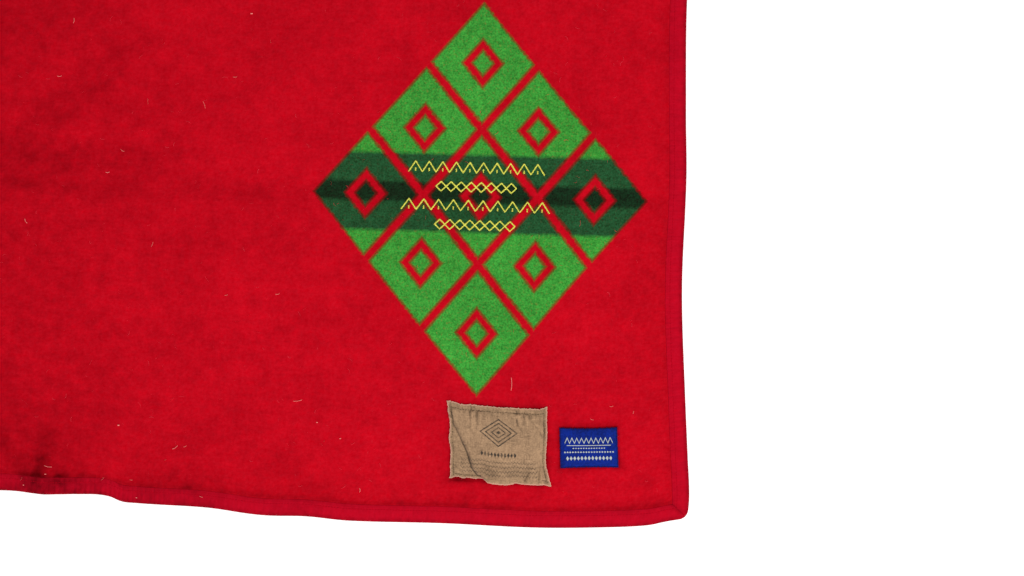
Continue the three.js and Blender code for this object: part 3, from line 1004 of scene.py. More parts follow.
def make_floor_material():
    material, tree, shader, _ = open_material("floor", roughness=0.9, specular=0.1)
    clouds = noise(tree, own_place(tree), FLOOR["clouds"], detail=2)
    grey = shade(tree, linear(250, 250, 250), calc(tree, "MULTIPLY_ADD", clouds, FLOOR["cloudy"], 1.0))
    feed(tree, grey, shader.inputs["Base Color"])
    # lit paper under the cloth: no grey is left along the hem
    shader.inputs["Emission Color"].default_value = (1, 1, 1, 1)
    shader.inputs["Emission Strength"].default_value = FLOOR["lit"]
    return material


def add_floor():
    mesh = bpy.data.meshes.new("floor")
    half = FLOOR["size"] / 2
    corners = [(-half, -half), (half, -half), (half, half), (-half, half)]
    mesh.from_pydata([(x, y, -FLOOR["below"]) for x, y in corners], [], [(0, 1, 2, 3)])
    mesh.materials.append(make_floor_material())
    floor = bpy.data.objects.new("floor", mesh)
    scene.collection.objects.link(floor)


add_floor()
print("floor:", FLOOR["size"], "m wide")

# %% [markdown]
# A piece is made from two arrays: where its points lie, and where they were in the flat cloth. Faces
# must point outwards, which a closed mesh tells by its volume: if the sum over its faces is negative,
# they all point in, and each one is turned round.

# %% Helpers for meshes


def as_rows(x, y, z):
    """Three arrays of coordinates as one array of points."""
    return np.stack(np.broadcast_arrays(x, y, z), axis=-1).reshape(-1, 3)


def fans(faces):
    """The faces as triangles, each face split into a fan from its first corner."""
    return np.array([(face[0], *pair) for face in faces for pair in zip(face[1:-1], face[2:])])


def signed_volume(points, triangles):
    """Volume inside a closed mesh, negative if its faces point in."""
    first, second, third = points[triangles].transpose(1, 0, 2)
    return float(np.sum(first * np.cross(second, third))) / 6


def make_piece(name, points, faces, flat, shade_and_wear, material, sharp=None):
    """A mesh piece from laid points in millimetres, with its flat places and its painted shade and wear as
    attributes.
    """
    laid = in_frame(points)
    triangles = fans(faces)
    volume = signed_volume(laid, triangles)
    if volume < 0:
        faces = [tuple(reversed(face)) for face in faces]
    mesh = bpy.data.meshes.new(name)
    mesh.from_pydata(laid.tolist(), [], faces)
    attribute = mesh.attributes.new("flat", "FLOAT_VECTOR", "POINT")
    attribute.data.foreach_set("vector", (flat * MM).astype(np.float32).ravel())
    attribute = mesh.attributes.new("shade_and_wear", "FLOAT", "POINT")
    attribute.data.foreach_set("value", np.clip(shade_and_wear, 0, 1).astype(np.float32).ravel())
    mesh.materials.append(MATERIALS[material])
    mesh.shade_smooth()
    if sharp is not None:
        mesh.set_sharp_from_angle(angle=math.radians(sharp))
    piece = bpy.data.objects.new(name, mesh)
    scene.collection.objects.link(piece)
    print(f"{name}: {len(triangles)} triangles, {abs(volume) * 1e6:.0f} cubic centimetres")
    return piece


# %% Grids and closed sheets


def grid_faces(across, along, first=0):
    """Faces of a grid whose points are numbered along its second direction, then its first."""
    number = first + np.arange(across * along).reshape(across, along)
    corners = [number[:-1, :-1], number[1:, :-1], number[1:, 1:], number[:-1, 1:]]
    return np.stack(corners, axis=-1).reshape(-1, 4)


def closed_sheet(top, bottom):
    """Points and faces of a sheet between two grids of points, closed round its rim."""
    across, along = top.shape[:2]
    half = across * along
    number = np.arange(half).reshape(across, along)
    rim = np.concatenate([number[:, 0], number[-1, 1:], number[-2::-1, -1], number[0, -2::-1]])
    walls = np.stack([rim[:-1] + half, rim[1:] + half, rim[1:], rim[:-1]], axis=-1)
    faces = np.concatenate([grid_faces(across, along), grid_faces(across, along, half)[:, ::-1], walls])
    points = np.concatenate([top.reshape(-1, 3), bottom.reshape(-1, 3)])
    return points, [tuple(face) for face in faces.tolist()]


# %% [markdown]
# The blanket itself is one thick sheet. The corner that the camera sees gets the finest mesh, and the
# rest a coarser one. Low lumps, a sum of slow waves in many directions, take away the evenness that a
# computed surface has. They only add height, so the cloth still rests on the floor.

# %% Sizes of the cloth, and its painted shade and wear
FINE = {"x": (40, 815), "y": (-1015, -440), "step": 5.2, "coarse_step": 15}
BESIDE_TAPE = {"width": 16, "step": 1.6, "tolerance": 0.01}
LUMPS = {"seed": 7, "count": 16, "wavelengths": (34, 240), "height": 1.3}

# Where painted shade darkens the nap, in creases, on the shaded sides of folds and gathers, along the tape
# and the mitre, and to the left where the light falls off, with a little wear: the columns of the folds,
# with a share in place of height
SHADE_AND_WEAR = [
    ("left, painted falloff of the light", (-60, -420), (-60, -1015), 430, (0.15, 0.13)),
    ("left, painted falloff, further up", (-70, 120), (-60, -200), 240, (0.04, 0.06)),
    ("first sixth, left", (20, -634), (120, -644), 40, (0.20, 0.15)),
    ("first sixth, crease", (120, -644), (275, -656), 15, (0.10, 0.12)),
    ("first sixth, crease, right", (275, -656), (345, -664), 26, (0.02, 0.06)),
    ("first sixth, crease, far right", (345, -664), (790, -668), 16, (0.08, 0.05)),
    ("first sixth, upper crease", (140, -625), (280, -628), 12, (0.09, 0.06)),
    ("first sixth, lower crease", (90, -668), (290, -682), 15, (0.07, 0.0)),
    ("first sixth, middle", (130, -632), (256, -634), 26, (0.10, 0.08)),
    ("hem gather, crest", (121, -924), (108, -998), 14, (0.03, 0.26)),
    ("hem gather, left", (112, -964), (98, -1000), 19, (0.07, 0.22)),
    ("hem gather, right", (118, -970), (144, -996), 22, (0.10, 0.24)),
    ("hem gather, core", (118, -968), (109, -992), 10, (0.17, 0.16)),
    ("hem gather, foot", (104, -1003), (130, -1001), 18, (0.38, 0.50)),
    ("left, above the gather", (84, -925), (150, -945), 62, (0.12, 0.14)),
    ("hem, left", (-60, -990), (84, -992), 24, (0.03, 0.02)),
    ("hem, far left", (62, -958), (82, -980), 19, (0.26, 0.28)),
    ("hem, right", (224, -994), (300, -988), 26, (0.13, 0.11)),
    ("hem, middle", (262, -990), (330, -992), 34, (0.09, 0.02)),
    ("hem ripple", (378, -962), (402, -996), 31, (0.06, 0.14)),
    ("tape, left", (40, -1010), (172, -1006), 13, (0.22, 0.24)),
    ("tape, middle", (190, -1010), (310, -1010), 13, (0.08, 0.16)),
    ("tape, ripple", (366, -1010), (398, -1010), 13, (0.13, 0.10)),
    ("left streak", (76, -840), (70, -960), 17, (0.05, 0.06)),
    ("left edge, painted falloff", (46, -430), (48, -580), 26, (0.08, 0.01)),
    ("diagonal crease", (113, -602), (180, -538), 9, (0.07, 0.05)),
    ("small gather", (258, -948), (290, -980), 9, (0.07, 0.07)),
    ("above the motif", (486, -500), (512, -560), 30, (0.05, 0.04)),
    ("mitre", (795, -995), (807, -1007), 5, (0.26, 0.30)),
    ("first sixth, far left", (-900, -640), (-20, -634), 30, (0.12, 0.16)),
    ("second sixth", (-900, -330), (900, -338), 17, (0.10, 0.12)),
    ("third sixth", (-900, 5), (900, -5), 20, (0.16, 0.13)),
    ("fourth sixth", (-900, 330), (900, 339), 17, (0.12, 0.10)),
    ("fifth sixth", (-900, 672), (900, 664), 18, (0.13, 0.16)),
    ("mid-width crease", (-12, -1100), (8, 1100), 18, (0.10, 0.14)),
    ("far left, painted falloff of the light", (-560, 600), (-330, 830), 330, (0.10, 0.08)),
    ("left side, handled", (-700, -260), (-640, 190), 310, (0.07, 0.09)),
    ("middle, handled", (300, 350), (520, 620), 300, (0.07, 0.09)),
]
# Painted shade beside the tape, darker beside the bottom tape than beside the others, and uneven along the
# edge
SHADE_BESIDE_TAPE = {"bottom": 0.24, "other": 0.06, "half": 4, "uneven": 0.4, "wavelengths": (13, 21, 34), "seed": 8}
SWELL = {"height": 1.2, "width": 3.0, "starts": -0.42, "wall": 0.06}
print(len(SHADE_AND_WEAR), "worn places")

# %% Lines of the cloth's mesh


def even_lines(low, high, step):
    """Lines from one place to another, about one step apart."""
    return np.linspace(low, high, max(round((high - low) / step), 1) + 1)


def cloth_lines(half, fine_range):
    """Lines across the cloth from hem to hem, fine in one range and finer beside the tape there."""
    inset, edges = half - cloth_inset, half - tape_zone
    low, high = np.clip(fine_range, -edges, edges)
    walls = [edges - SWELL["starts"], edges - SWELL["starts"] + SWELL["wall"]]
    marks = {-inset, -edges, low, high, edges, inset, *walls, *np.negative(walls)}
    for edge in (low, high):
        if abs(edge) == edges:
            marks.add(edge - math.copysign(BESIDE_TAPE["width"], edge))
    lines = []
    for start, end in zip(sorted(marks), sorted(marks)[1:]):
        fine = low <= (start + end) / 2 <= high
        step = FINE["step"] if fine else FINE["coarse_step"]
        if fine and end - start < BESIDE_TAPE["width"] + BESIDE_TAPE["tolerance"]:
            step = BESIDE_TAPE["step"]
        lines.append(even_lines(start, end, step)[:-1])
    return np.append(np.concatenate(lines), inset)


cloth_grid = grid(cloth_lines(half_width, FINE["x"]), cloth_lines(half_length, FINE["y"]))
print("crossings of the cloth's lines:", cloth_grid[0].shape)

# %% Height of the cloth


def inside(x, y, width, height):
    """How far points lie inside a rectangle round the middle."""
    return np.minimum(width / 2 - np.abs(x), height / 2 - np.abs(y))


def from_hem(x, y):
    """How far points of the flat cloth lie from its nearest edge."""
    return inside(x, y, BLANKET["width"], BLANKET["length"])


def wavy(s, seed, wavelengths):
    """Uneven waves along a line, between about -1 and 1."""
    random = np.random.default_rng(seed)
    waves = [np.sin(2 * math.pi * s / length + random.uniform(0, 6.28)) for length in wavelengths]
    return sum(waves) / len(waves)


def lumps(x, y):
    """Low lumps, from nothing up to about their full height."""
    random = np.random.default_rng(LUMPS["seed"])
    total = np.zeros(np.broadcast(x, y).shape)
    for wavelength in np.geomspace(*LUMPS["wavelengths"], LUMPS["count"]):
        direction, phase = random.uniform(0, 2 * math.pi, 2)
        slow = x * math.cos(direction) + y * math.sin(direction)
        total += np.sin(2 * math.pi * slow / wavelength + phase)
    return LUMPS["height"] * np.clip(0.5 + total / LUMPS["count"], 0, 1)


def cloth_rise(x, y):
    """Height of the cloth's underside over its folds: lifted beside the tape, and lumpy elsewhere."""
    settled = smooth_step((from_hem(x, y) - tape_zone) / SETTLE_WIDTH)
    return cloth_lift * (1 - settled) + lumps(x, y) * settled


def cloth_top(x, y):
    """Height of the cloth's upper face over its folds, where it isn't swollen."""
    return BLANKET["thick"] + cloth_rise(x, y)


def cloth_swell(x, y):
    """The stitches squeeze the cloth under the tape, and beside the tape it swells up again."""
    from_tape = from_hem(x, y) - tape_zone
    swell = SWELL["height"] * np.exp(-np.maximum(from_tape, 0) / SWELL["width"])
    return np.where(from_tape > SWELL["starts"] - SWELL["wall"] / 2, swell, 0)


print("lumps of the cloth, at most:", round(float(lumps(*cloth_grid).max()), 2), "mm")

# %% Painted shade and wear of the cloth


def cloth_shade_and_wear(x, y):
    """Painted shade with a little wear on the cloth: the table of shaded places, and the painted shade
    along the tape.
    """
    from_tape = from_hem(x, y) - tape_zone
    by_end = half_length - np.abs(y) < half_width - np.abs(x)
    along = np.where(by_end, x, y)
    # the painted shade beside the bottom tape is darker than beside the others
    share = np.where(by_end & (y < 0), SHADE_BESIDE_TAPE["bottom"], SHADE_BESIDE_TAPE["other"])
    share = share * (1 + SHADE_BESIDE_TAPE["uneven"] * wavy(along, SHADE_BESIDE_TAPE["seed"], SHADE_BESIDE_TAPE["wavelengths"]))
    total = fold_height(SHADE_AND_WEAR, x, y) + share * np.exp(-((from_tape / SHADE_BESIDE_TAPE["half"]) ** 2))
    return 1 - np.exp(-total)


# most of what is printed here is painted shade, and a little is wear
print("wear of the cloth at most:", round(float(cloth_shade_and_wear(*cloth_grid).max()), 3))

# %% Make the cloth


def make_cloth(x, y):
    under = lay(x, y, cloth_rise(x, y))
    upper = under.copy()
    upper[..., 2] += BLANKET["thick"] + cloth_swell(x, y)
    points, faces = closed_sheet(upper, under)
    flat = np.concatenate([as_rows(x, y, 0), as_rows(x, y, -BLANKET["thick"])])
    shade_and_wear = np.tile(cloth_shade_and_wear(x, y).ravel(), 2)
    return make_piece("blanket_cloth", points, faces, flat, shade_and_wear, "blanket_wool")


blanket_cloth = make_cloth(*cloth_grid)

# %% [markdown]
# The tape is folded over the edge like a bracket, and a row of stitches holds both its legs. Its
# section is a loop of points: the outer face with a round nose at the fold, and the inner face back.
# It is swept along each side of the blanket, and its ends slant over to the mitre at the corners.
# The stitches draw a groove into it, and the band outside them puffs up and puckers.

# %% Section of the tape
TOP = BLANKET["thick"] + 2 * (TAPE["thick"] + SEWN_GAP)
SHOULDER = TOP - 0.2


def tape_section():
    """The loop of the tape's section: across from the fold, and up from the surface."""
    wide, thick = TAPE["width"], TAPE["thick"]
    upper = [(wide, TOP - 0.55), (18.6, SHOULDER), (18, TOP - 0.04)]
    upper += [(a, TOP) for a in (17, 16, 15, 14.3, 13.6, 12.9, 12.2, 11, 9, 7, 5)]
    nose = []
    for turn in np.linspace(0, math.pi, 9):
        across = TAPE["nose"] * (1 - math.sin(turn))
        nose.append((across, TOP / 2 * (1 + math.cos(turn))))
    lower = [(a, 0) for a in (7, 11, 15, wide)]
    inner = [(wide, thick), (11, thick), (3.2, thick), (1.9, 1.6), (TAPE["nose_wall"], 2.2)]
    mirrored = [(a, TOP - up) for a, up in reversed(inner)]
    return np.array(upper + nose + lower + inner + mirrored)


section = tape_section()
print(len(section), "points round the tape's section")

# %% Relief and painted shade of the tape
STITCH_LINE = 13.6
GROOVE = {"depth": 0.12, "half": 1.4}
PUFF = 0.15
RIBS = {"length": 5.2, "height": 0.05, "gathered": 0.36, "gather_at": 170, "gather_half": 200}
RIB_SWAY = {"turn": 1.3, "wave": 17}
PUCKER = {"wavelengths": (9.4, 15, 27, 61), "height": 0.40, "seed": 3}
BAND_RAMP = 4
FREE_EDGE = {"ramp": 3, "share": 0.5}
# Painted shade on the tape, in the rib hollows, on the fold and at the free edge, and how much of the
# cloth's painted shade reaches the tape
TAPE_SHADE = {"ribs": 0.35, "fold": 0.7, "fold_reach": 6, "from_cloth": 0.8}
TAPE_EDGE_SHADE = {"share": 0.06, "gathered": 0.09, "at": 16.6, "half": 2.2}


def rib_wave(s, gathered):
    """The small ribs across the tape: from -1 between them to 1 on them, and how high they are."""
    drawn = smooth_step(1 - np.abs(s - RIBS["gather_at"]) / RIBS["gather_half"]) * gathered
    height = RIBS["height"] + drawn * (RIBS["gathered"] - RIBS["height"])
    sway = RIB_SWAY["turn"] * np.sin(s / RIB_SWAY["wave"])
    return np.sin(2 * math.pi * s / RIBS["length"] + sway), height


def tape_relief(s, across, up, gathered):
    """How far the outer face stands off its plain section: groove, puff, ribs and puckers."""
    wave, rib_height = rib_wave(s, gathered)
    ripple = wave * rib_height + PUCKER["height"] * wavy(s, PUCKER["seed"], PUCKER["wavelengths"])
    from_line = (across - STITCH_LINE) / GROOVE["half"]
    groove = -GROOVE["depth"] * np.exp(-(from_line**2))
    band = smooth_step((STITCH_LINE - across) / BAND_RAMP) * smooth_step(across / BAND_RAMP)
    free_edge = smooth_step((across - STITCH_LINE) / FREE_EDGE["ramp"])
    relief = groove + PUFF * band + ripple * np.maximum(band, FREE_EDGE["share"] * free_edge)
    return np.where(up > SHOULDER, relief, 0)


def tape_painted_shade(s, across, up, gathered):
    """Painted shade between the ribs, round the fold and along the free edge."""
    wave, rib_height = rib_wave(s, gathered)
    # painted shade in the hollows between the ribs
    between = TAPE_SHADE["ribs"] * rib_height * np.maximum(-wave, 0) ** 2
    # painted shade on the rounded fold, which turns away from the light
    fold = TAPE_SHADE["fold"] * np.maximum(1 - across / TAPE_SHADE["fold_reach"], 0) ** 1.5
    # painted shade along the free edge, where the tape steps down to the cloth
    share = TAPE_EDGE_SHADE["share"] + TAPE_EDGE_SHADE["gathered"] * gathered
    seam = share * np.exp(-(((across - TAPE_EDGE_SHADE["at"]) / TAPE_EDGE_SHADE["half"]) ** 2))
    return between + fold + np.where(up > TOP / 2, seam, 0)


# %% Sweep the tape round the four sides
TAPE_STEP = {"fine": 1.3, "coarse": 9}
MITRE_STEPS = 8
SHARP_FROM = 50
SIDES = {
    "bottom": {"half": half_width, "fine": (-10, 815), "place": lambda s, a: (s, a - half_length)},
    "right": {"half": half_length, "fine": (-1015, -430), "place": lambda s, a: (half_width - a, s)},
    "top": {"half": half_width, "fine": (0, 0), "place": lambda s, a: (s, half_length - a)},
    "left": {"half": half_length, "fine": (0, 0), "place": lambda s, a: (a - half_width, s)},
}
GATHERED = {"bottom": 1, "right": 0, "top": 0, "left": 0}


def tape_stations(half, fine_range):
    """Places along one side where the section is square to it."""
    end = half - tape_zone
    marks = sorted({-end, *np.clip(fine_range, -end, end), end})
    parts = []
    for start, stop in zip(marks, marks[1:]):
        fine = fine_range[0] < (start + stop) / 2 < fine_range[1]
        parts.append(even_lines(start, stop, TAPE_STEP["fine" if fine else "coarse"])[:-1])
    return np.append(np.concatenate(parts), end)


def tape_rows(side, across):
    """Places along the side for each point of each section, slanting over to the mitres."""
    square = tape_stations(side["half"], side["fine"])
    rows = [np.full(len(across), s) for s in square]
    mitre = side["half"] - across - MITRE_GAP
    for step in np.arange(1, MITRE_STEPS + 1) / MITRE_STEPS:
        rows.append(square[-1] + (mitre - square[-1]) * step)
        rows.insert(0, square[0] + (-mitre - square[0]) * step)
    return np.array(rows)


def tube_faces(loops, count):
    """Faces of a tube with closed ends, whose points are numbered loop by loop."""
    loop = np.arange(loops * count).reshape(loops, count)
    nexts = np.roll(loop, -1, axis=1)
    walls = np.stack([loop[:-1], loop[1:], nexts[1:], nexts[:-1]], axis=-1).reshape(-1, 4)
    faces = [tuple(face) for face in walls.tolist()]
    return faces + [tuple(loop[0].tolist()), tuple(loop[-1, ::-1].tolist())]


def make_tape(name, side):
    s = tape_rows(side, section[:, 0])
    across, up = (np.broadcast_to(section[:, k], s.shape) for k in (0, 1))
    place = side["place"](s, across)
    points = lay(*place, up + tape_relief(s, across, up, GATHERED[name]))
    # the tape's own painted shade, and the cloth's painted shade under it
    shade_and_wear = tape_painted_shade(s, across, up, GATHERED[name]) + TAPE_SHADE["from_cloth"] * fold_height(SHADE_AND_WEAR, *place)
    return make_piece(
        f"tape_{name}", points.reshape(-1, 3), tube_faces(*s.shape), as_rows(across, s, up),
        1 - np.exp(-shade_and_wear), "binding_tape", sharp=SHARP_FROM,
    )


tapes = {name: make_tape(name, side) for name, side in SIDES.items()}

# %% [markdown]
# The larger label is a raw-edged piece of cotton that has puckered where it was sewn on. Its top
# gathers into small pleats under the seam, one long fold runs down from its upper left corner, and its
# bottom edge bulges loose past the stitches. Such folds are bent, and steeper on one side than on the
# other, so they have a table of their own. Painted shade darkens the valleys, which are found by
# comparing each point of the relief with the points round it.

# %% Edges and folds of the larger label
SEAM = {"side": 3.6, "top": 6.2, "bottom": 3.4, "loose_from": -20, "half": 1.1, "pressed": 0.8}

# How far each edge of the label stands out from the plain rectangle, as place and distance
CARE_EDGES = {
    "top": [
        (-55.5, 0.6), (-52, 0.2), (-47, -0.6), (-43, -2.0), (-37, -2.8), (-29.7, -2.2), (-19.5, -2.9),
        (-10, -3.0), (1, -3.6), (12.7, -3.1), (24.5, -3.3), (37.6, -3.1), (46, -3.2), (50, -2.2),
        (53, -0.9), (55.5, -0.2),
    ],
    "bottom": [
        (-55.5, -1.2), (-53.2, -1.3), (-49.5, -2.7), (-45.8, -3.4), (-40, -1.9), (-34.1, -2.9),
        (-26.8, -2.2), (-18, -2.9), (-14.3, -0.9), (-12.2, 0.5), (-4.8, 1.8), (6.9, 2.5), (14.2, 1.2),
        (18.6, -0.2), (24.5, 0.6), (30.3, 0.7), (42, 0.9), (47.9, 0.3), (53.7, 1.9), (55.5, 1.5),
    ],
    "left": [
        (-42, -2.8), (-36.7, -4.1), (-29.4, -3.6), (-17.7, -3.9), (-8.9, -3.7), (1.3, -1.7), (7.2, -2.1),
        (14.5, -2.6), (23.3, -1.7), (30.6, 0), (36.5, 0.4), (42, 1.8),
    ],
    "right": [
        (-42, 1.5), (-36.9, 0), (-29.6, -1.8), (-20.8, -3.9), (-12, -4.2), (-0.3, -3.4), (14.3, -2.6),
        (26, -2.9), (36.3, -2.5), (42, -2.5),
    ],
}

# How ragged each edge is: a seed and a size
CARE_RAGGED = {"top": (1, 0.8), "bottom": (2, 0.4), "left": (3, 0.5), "right": (4, 0.5)}
RAGGED_WAVES = (2.3, 3.1, 4.4, 6.7)

# Folds of the label as path, half widths to the left and right of the path, and heights along it
LABEL_FOLDS = [
    (
        "pleat",
        [(-53, 25), (-40, 5), (-32.5, -14), (-28, -28), (-20, -38), (-10, -43)],
        (15, 3.2), (1.6, 4.2),
    ),
    ("gather, left", [(-29, 35), (-30, 14)], (5, 2.2), (1.7, 0.3)),
    ("gather, middle", [(-21, 35), (-22, 18)], (5, 2.2), (1.5, 0.3)),
    ("gather, right", [(19.5, 36), (18.6, 20)], (2.2, 5), (1.6, 0.2)),
    ("gather, far right", [(30, 35), (33, 24)], (4, 2.4), (1.4, 0.3)),
    ("gather, slanting", [(21, 33), (24, 23), (31, 12)], (5, 2.5), (1.5, 0.4)),
    ("slanting crease", [(40, 30), (47, 21), (53, 12)], (9, 4), (1.0, 1.4)),
    ("loose hem", [(-12, -38), (18, -38.5), (42, -37)], (15, 8), (2.4, 1.8)),
    ("lower crease", [(30, -40), (38, -27)], (3, 4.5), (1.8, 0.4)),
    ("corner crease", [(45, -41), (48, -30), (52, -20)], (3, 5), (1.7, 0.4)),
    ("left crease", [(-54, -28), (-44, -37)], (3, 4), (0.9, 0.5)),
]
LABEL_FOLDS_SHARE = 1.15
FULL = {"height": 0.7, "rim": 4, "ramp": 12}

# Puckers along an edge: wave, how far it sways and the sway's own wave, reach inwards, and height
PUCKERS = {
    "top": (1.15, 1.6, 6, 6, 0.45),
    "sides": (1.2, 1, 4, 4, 0.315),
    "foot": (1.25, 2, 9, 3.5, 0.225),
}
print(len(LABEL_FOLDS), "folds on the larger label")

# %% Folds that follow a bent path


def path_ridges(folds, x, y):
    """Height of folds that follow bent paths and are steeper on one side than on the other."""
    height = np.zeros(np.broadcast(x, y).shape)
    for _, path, (left, right), heights in folds:
        nearest = np.full(height.shape, np.inf)
        ridge = np.zeros(height.shape)
        for k, (start, end) in enumerate(zip(path, path[1:])):
            run = np.subtract(end, start)
            across, along = x - start[0], y - start[1]
            t = np.clip((across * run[0] + along * run[1]) / (run @ run), 0, 1)
            away = np.hypot(across - t * run[0], along - t * run[1])
            on_left = run[0] * along - run[1] * across > 0
            u = np.clip(away / np.where(on_left, left, right), 0, 1)
            share = (k + t) / (len(path) - 1)
            here = (heights[0] + share * (heights[1] - heights[0])) * (1 - u**2) ** 2
            ridge = np.where(away < nearest, here, ridge)
            nearest = np.minimum(away, nearest)
        height += ridge
    return height


# %% Outline of the larger label


def ragged(s, seed, size):
    """Small uneven waves of a raw edge."""
    return size * wavy(s, seed, RAGGED_WAVES)


def care_outline(x, y):
    """The label's own edges, which fade out towards its middle."""
    u, v = x / CARE_LABEL["width"] + 0.5, y / CARE_LABEL["height"] + 0.5
    out = {}
    for edge, at, near in (("top", x, v), ("bottom", x, 1 - v), ("left", y, 1 - u), ("right", y, u)):
        moved = drift_at(CARE_EDGES[edge], at) + ragged(at, *CARE_RAGGED[edge])
        out[edge] = moved * np.clip(near, 0, 1) ** 3
    return x + out["right"] - out["left"], y + out["top"] - out["bottom"]


# %% Relief of the larger label


def seam_dip(x, y):
    """0 away from the label's seams, and 1 on them."""
    to_side = np.abs(CARE_LABEL["width"] / 2 - SEAM["side"] - np.abs(x))
    to_top = np.abs(CARE_LABEL["height"] / 2 - SEAM["top"] - y)
    to_bottom = np.abs(CARE_LABEL["height"] / 2 - SEAM["bottom"] + y)
    to_bottom = np.where(x < SEAM["loose_from"], to_bottom, np.inf)
    nearest = np.minimum(np.minimum(to_side, to_top), to_bottom)
    return np.exp(-((nearest / SEAM["half"]) ** 2))


def puckers(row, along, away):
    """Small folds square to an edge, which fade out away from it."""
    wave, sway, sway_wave, reach, height = row
    folds = np.sin(along / wave + sway * np.sin(along / sway_wave))
    return height * folds * np.exp(-away / reach)


def care_relief(x, y):
    """Height of the label's relief: fullness, folds, gathers below the top seam, and pressed seams."""
    half_x, half_y = CARE_LABEL["width"] / 2, CARE_LABEL["height"] / 2
    from_rim = inside(x, y, CARE_LABEL["width"], CARE_LABEL["height"])
    relief = FULL["height"] * smooth_step((from_rim - FULL["rim"]) / FULL["ramp"])
    relief = relief + LABEL_FOLDS_SHARE * path_ridges(LABEL_FOLDS, x, y)
    relief = relief + puckers(PUCKERS["top"], x, np.abs(half_y - SEAM["top"] - y))
    relief = relief + puckers(PUCKERS["sides"], y, half_x - np.abs(x))
    relief = relief + puckers(PUCKERS["foot"], x, half_y + y)
    return np.maximum(relief * (1 - SEAM["pressed"] * seam_dip(x, y)), 0)


print("relief in the middle of the label:", round(float(care_relief(0.0, 0.0)), 2), "mm")

# %% Make the larger label
LABEL_THICK = 0.6
LABEL_GAP = 0.25
LABEL_STEP = 0.75
# Painted shade in the label's valleys, in its seams and under its long fold
VALLEYS = {"apart": 2, "gain": 1.5, "most": 0.75}
CARE_SHADE = {"seam": 0.15, "fold_halves": (1.5, 5.5), "fold": (0.14, 0.22)}


def valleys(relief):
    """A share of painted shade for each point of a grid that lies lower than the points around it."""
    apart = VALLEYS["apart"]
    padded = np.pad(relief, apart, mode="edge")
    own = slice(apart, -apart)
    across = padded[2 * apart :, own] + padded[: -2 * apart, own]
    around = (across + padded[own, 2 * apart :] + padded[own, : -2 * apart]) / 4
    return np.clip((around - relief) * VALLEYS["gain"], 0, VALLEYS["most"])


def label_sheet(name, label, outline, relief, painted_shade, material):
    """A label as a thin sheet that follows the cloth under it, with painted shade in its valleys, seams
    and edges.
    """
    half_x, half_y = label["width"] / 2, label["height"] / 2
    x, y = grid(even_lines(-half_x, half_x, LABEL_STEP), even_lines(-half_y, half_y, LABEL_STEP))
    place = on_label(label, *outline(x, y))
    height = relief(x, y)
    under = lay(*place, cloth_top(*place) + LABEL_GAP + height)
    points, faces = closed_sheet(under + [0, 0, LABEL_THICK], under)
    flat = np.tile(as_rows(x, y, 0), (2, 1))
    # painted shade in the valleys, at the seams and along the edges
    shade_and_wear = np.tile((valleys(height) + painted_shade(x, y)).ravel(), 2)
    return make_piece(name, points, faces, flat, shade_and_wear, material, sharp=SHARP_FROM)


def care_painted_shade(x, y):
    """Painted shade in the larger label's seams, and a painted shadow under the edge of its long fold."""
    name, path, _, _ = LABEL_FOLDS[0]
    fold = path_ridges([(name, path, CARE_SHADE["fold_halves"], CARE_SHADE["fold"])], x, y)
    return CARE_SHADE["seam"] * seam_dip(x, y) + fold


label_large = label_sheet(
    "label_large", CARE_LABEL, care_outline, care_relief, care_painted_shade, "label_cotton"
)

# %% The smaller label
WOVEN_GROWN = 1.045
WOVEN_RAGGED = {"ends": (5, 0.5), "sides": (6, 0.35)}
WOVEN_FULL = {"height": 0.5, "rim": 1, "ramp": 7}
WOVEN_RIPPLE = {"height": 0.14, "reach": 3, "wave": 1.5, "sway": 4}
# Painted shade along the small label's rim, and a painted shadow along its top edge
WOVEN_SHADE = {"rim": 0.3, "rim_reach": 0.9, "top": 0.45, "top_reach": 1.3}


def woven_edges(x, y):
    """The small label with its loose weave, a little taller than its cut size."""
    across, along = woven_outline(x, y)
    end_wave = ragged(x, *WOVEN_RAGGED["ends"]) * (2 * y / WOVEN_LABEL["height"]) ** 3
    side_wave = ragged(y, *WOVEN_RAGGED["sides"]) * (2 * x / WOVEN_LABEL["width"]) ** 3
    return across + side_wave, along * WOVEN_GROWN + end_wave


def from_woven_rim(x, y):
    """How far points lie inside the small label's rim."""
    return inside(x, y, WOVEN_LABEL["width"], WOVEN_LABEL["height"])


def woven_relief(x, y):
    """The small label lies flat, drawn down along its stitched rim and a little full inside it."""
    from_rim = from_woven_rim(x, y)
    full = WOVEN_FULL["height"] * smooth_step((from_rim - WOVEN_FULL["rim"]) / WOVEN_FULL["ramp"])
    wave = np.sin(x / WOVEN_RIPPLE["wave"] + np.sin(x / WOVEN_RIPPLE["sway"]))
    return full + WOVEN_RIPPLE["height"] * (1 + wave) * np.exp(-from_rim / WOVEN_RIPPLE["reach"])


def woven_painted_shade(x, y):
    """Painted shade where the small label's edges turn down, and a painted shadow along its top edge."""
    rim = WOVEN_SHADE["rim"] * np.exp(-from_woven_rim(x, y) / WOVEN_SHADE["rim_reach"])
    from_top = WOVEN_LABEL["height"] / 2 - y
    return rim + WOVEN_SHADE["top"] * np.exp(-from_top / WOVEN_SHADE["top_reach"])


label_small = label_sheet(
    "label_small", WOVEN_LABEL, woven_edges, woven_relief, woven_painted_shade, "label_satin"
)

# %% [markdown]
# Sewing repeats, so Geometry Nodes make it. A path goes in, and comes out as a row of stitches: the
# curve is resampled at the stitch's pitch, and each point gets a short arch of thread, turned along
# the path for a seam or across it for satin stitch. The inputs are named, and the random lean and
# length have a fixed seed, so each run gives the same stitches.

# %% Geometry Nodes: helpers for both trees


